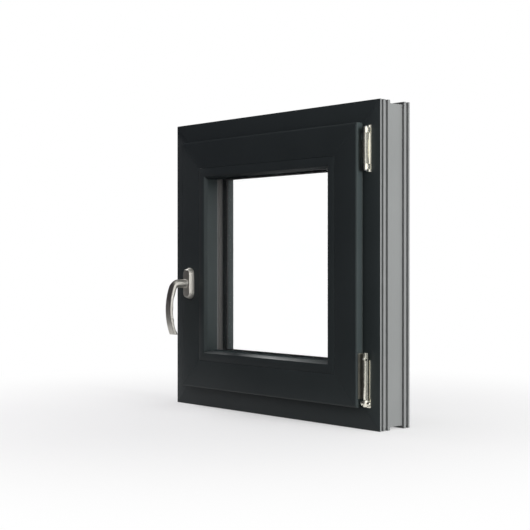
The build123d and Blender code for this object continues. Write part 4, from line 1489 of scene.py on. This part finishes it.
# Upright dark flags of the studio, each between a lower and an upper corner: one in front, one at
# the left, one above, and three small ones that shade the front, the top rail and the elbow
FLAGS = (
    ("flag_front", (-2.4, -1.1, 0.0), (0.5, -1.1, 3.0)),
    ("flag_left", (-2.4, -1.1, 0.0), (-2.4, 2.6, 3.0)),
    ("flag_upper", (-1.0, -0.8, 1.25), (-1.0, 0.3, 2.0)),
    ("flag_near", (-0.55, -0.5, 0.80), (-0.55, 0.3, 1.40)),
    ("flag_rail", (-0.33, -0.11, 0.604), (-0.33, 0.01, 0.82)),
    ("flag_elbow", (-0.30, -0.12, 0.285), (-0.30, -0.042, 0.37)),
)
# Dark mats on the floor in front of the window, which only gloss sees
MATS = (
    ("mat_left", (-1.5, -1.1, 0.001), (-0.38, -0.36, 0.001)),
    ("mat_middle", (-0.38, -1.1, 0.001), (0.12, -0.18, 0.001)),
)


# The floor's edge points, scale and detail of its grain, strength and depth of its relief,
# and the share of the shadow's reach within which the shadow is kept in full
FLOOR_POINTS = 96
FLOOR_GRAIN = (220.0, 3.0)
FLOOR_RELIEF = (0.05, 0.0005)
SHADOW_CORE = 0.2
# The camera sees past the floor's edge
CLIP_END = 100


def glow(name, tint, level, fill):
    """A plain glow that gives diffuse rays so many times the light that it shows."""
    material, tree = bare_material(name)
    lit = output(tree, "LightPath", "Is Diffuse Ray")
    strength = maths(tree, "MULTIPLY_ADD", lit, level * (fill - 1), level)
    light = output(tree, "Emission", 0, {"Color": (*tint, 1), "Strength": strength})
    feed(tree, tree.nodes["Material Output"], {"Surface": light})
    return material


def sheet(name, low, high, material, only_gloss):
    """An upright or level sheet of the studio between two corners, which the camera doesn't see."""
    low, high = Vector(low), Vector(high)
    across = high.xy - low.xy
    upright = high.z > low.z
    bpy.ops.mesh.primitive_plane_add(size=1, location=(low + high) / 2)
    piece = bpy.context.object
    piece.name = name
    piece.scale = (*across, 1)
    if upright:
        piece.scale = (across.length, high.z - low.z, 1)
        piece.rotation_euler = (pi / 2, 0, atan2(across.y, across.x))
    bpy.ops.object.transform_apply(location=True, rotation=True, scale=True)
    piece.visible_camera = False
    if only_gloss:
        piece.visible_diffuse = piece.visible_transmission = piece.visible_shadow = False
    piece.data.materials.append(material)


def plainly_seen(tree, path):
    """1 for the rays of camera, gloss and clear glass, and 0 for those that light the window."""
    seen = maths(tree, "MAXIMUM", path["Is Camera Ray"], path["Is Glossy Ray"])
    return maths(tree, "MAXIMUM", seen, path["Is Transmission Ray"])


class PVC_WINDOW_OT_stage(bpy.types.Operator):
    """Set up the pale floor, the white surroundings, the soft lights and the camera"""

    bl_idname = "pvc_window.stage"
    bl_label = "Stage"

    def execute(self, context):
        s = context.scene.window_stage
        nothing_selected()
        self.floor(context, s)
        self.surroundings(context, s)
        self.lights(s)
        self.sheets(s)
        bpy.ops.object.camera_add(location=s.camera, rotation=(s.tilt, 0, s.turn))
        camera = bpy.context.object
        camera.name = "photo_camera"
        camera.data.lens = s.lens
        camera.data.sensor_width = s.sensor
        camera.data.clip_end = CLIP_END
        context.scene.camera = camera
        context.scene.view_settings.view_transform = "Standard"
        return {"FINISHED"}

    def floor(self, context, s):
        """A pale floor that keeps the window's shadow near it and is white further off."""
        bpy.ops.mesh.primitive_circle_add(
            vertices=FLOOR_POINTS, radius=s.floor_radius, fill_type="NGON",
            location=(0, 0, -s.floor_drop)
        )
        floor = bpy.context.object
        floor.name = "floor"
        bpy.ops.object.transform_apply(location=True)
        material, tree = bare_material("floor_paint")
        at = output(tree, "TexCoord", "Object")
        path = add_node(tree, "LightPath").outputs
        base = context.scene.window_finish.floor
        dim = [c * s.floor_bounce for c in base]
        tint = output(
            tree, "Mix", 2, {0: path["Is Diffuse Ray"], 6: (*base, 1), 7: (*dim, 1)},
            data_type="RGBA"
        )
        grain = relief(tree, noise(tree, at, *FLOOR_GRAIN), *FLOOR_RELIEF)
        paint = output(tree, "BsdfDiffuse", 0, {"Color": tint, "Normal": grain})
        white = output(tree, "Emission", 0, {"Color": (1, 1, 1, 1), "Strength": 1.0})
        from_window = output(
            tree, "Mapping", "Vector", {"Vector": at, "Location": (0, -FRAME_OUT / 2, 0)}
        )
        reach = output(tree, "VectorMath", "Value", {0: from_window}, operation="LENGTH")
        ends = (s.shadow_reach * SHADOW_CORE, s.shadow_reach)
        far = ranged(tree, reach, ends, (0.0, 1.0), interpolation_type="SMOOTHSTEP")
        share = maths(tree, "MULTIPLY_ADD", far, 1 - s.floor_white, s.floor_white)
        share = maths(tree, "MULTIPLY", plainly_seen(tree, path), share)
        both = output(tree, "MixShader", 0, {0: share, 1: paint, 2: white})
        feed(tree, tree.nodes["Material Output"], {"Surface": both})
        floor.data.materials.append(material)

    def surroundings(self, context, s):
        """White for the camera, for gloss and for glass, and an even light on everything."""
        world = bpy.data.worlds.new("studio")
        context.scene.world = world
        world.use_nodes = True
        tree = world.node_tree
        seen = plainly_seen(tree, add_node(tree, "LightPath").outputs)
        level = ranged(tree, seen, (0.0, 1.0), (s.room_light, 1.0))
        feed(tree, tree.nodes["Background"], {"Color": (1, 1, 1, 1), "Strength": level})

    def lights(self, s):
        """A soft box at the hinge side and one overhead, which has a lamp of its own for gloss."""
        for name, middle, size, watts, sheen in (
            ("soft_box_side", s.key_place, s.key_size, s.key, False),
            ("soft_box_top", s.top_place, s.top_size, s.top, False),
            ("soft_box_sheen", s.top_place, s.top_size, s.sheen, True),
        ):
            turn = (s.lamp_aim - middle).to_track_quat("-Z", "Y").to_euler()
            bpy.ops.object.light_add(type="AREA", location=middle, rotation=turn)
            lamp = bpy.context.object
            lamp.name = name
            lamp.data.size = size
            lamp.data.energy = watts
            lamp.visible_glossy = sheen
            lamp.visible_diffuse = not sheen

    def sheets(self, s):
        """The pale card at the hinge side, the dark mats on the floor and the dark flags."""
        cloth = glow("dark_cloth", s.flag_colour, 1.0, s.flag_fill)
        pale = glow("pale_card", (1, 1, 1), s.card, 1.0)
        half = Vector((0, s.card_size / 2, s.card_size / 2))
        sheet("pale_card", s.card_place - half, s.card_place + half, pale, True)
        for mat in MATS:
            sheet(*mat, cloth, True)
        for flag in FLAGS:
            sheet(*flag, cloth, False)


OPERATORS = (
    PVC_WINDOW_OT_frame_bars, PVC_WINDOW_OT_sash_bars, PVC_WINDOW_OT_beads,
    PVC_WINDOW_OT_gaskets, PVC_WINDOW_OT_glass_unit, PVC_WINDOW_OT_rose, PVC_WINDOW_OT_lever,
    PVC_WINDOW_OT_top_hinge, PVC_WINDOW_OT_bottom_hinge, PVC_WINDOW_OT_drainage_caps,
    PVC_WINDOW_OT_stage,
)
SETTINGS = {
    "window_frame": FrameSizes, "window_sash": SashSizes, "window_glazing": GlazingSizes,
    "window_handle": HandleSizes, "window_hinge": HingeSizes, "window_outside": OutsideSizes,
    "window_finish": FinishColours, "window_stage": StageSettings,
}


class VIEW3D_PT_pvc_window(bpy.types.Panel):
    """Sizes, colours and steps of the window"""

    bl_label = "Tilt-and-turn window"
    bl_space_type = "VIEW_3D"
    bl_region_type = "UI"
    bl_category = "Window"

    def draw(self, context):
        for kind in OPERATORS:
            self.layout.operator(kind.bl_idname, text=kind.bl_label)
        for name, group in SETTINGS.items():
            box = self.layout.box()
            box.label(text=group.__doc__.split(",")[0].rstrip("."))
            for key in group.__annotations__:
                box.prop(getattr(context.scene, name), key)


CLASSES = (*SETTINGS.values(), *OPERATORS, VIEW3D_PT_pvc_window)


def register():
    for kind in CLASSES:
        bpy.utils.register_class(kind)
    for name, group in SETTINGS.items():
        setattr(bpy.types.Scene, name, PointerProperty(type=group))


def unregister():
    for name in SETTINGS:
        delattr(bpy.types.Scene, name)
    for kind in reversed(CLASSES):
        bpy.utils.unregister_class(kind)


def main():
    """Builds the window step by step."""
    register()
    for kind in OPERATORS:
        getattr(bpy.ops.pvc_window, kind.bl_idname.split(".")[1])()
    nothing_selected()


if __name__ == "__main__":
    main()
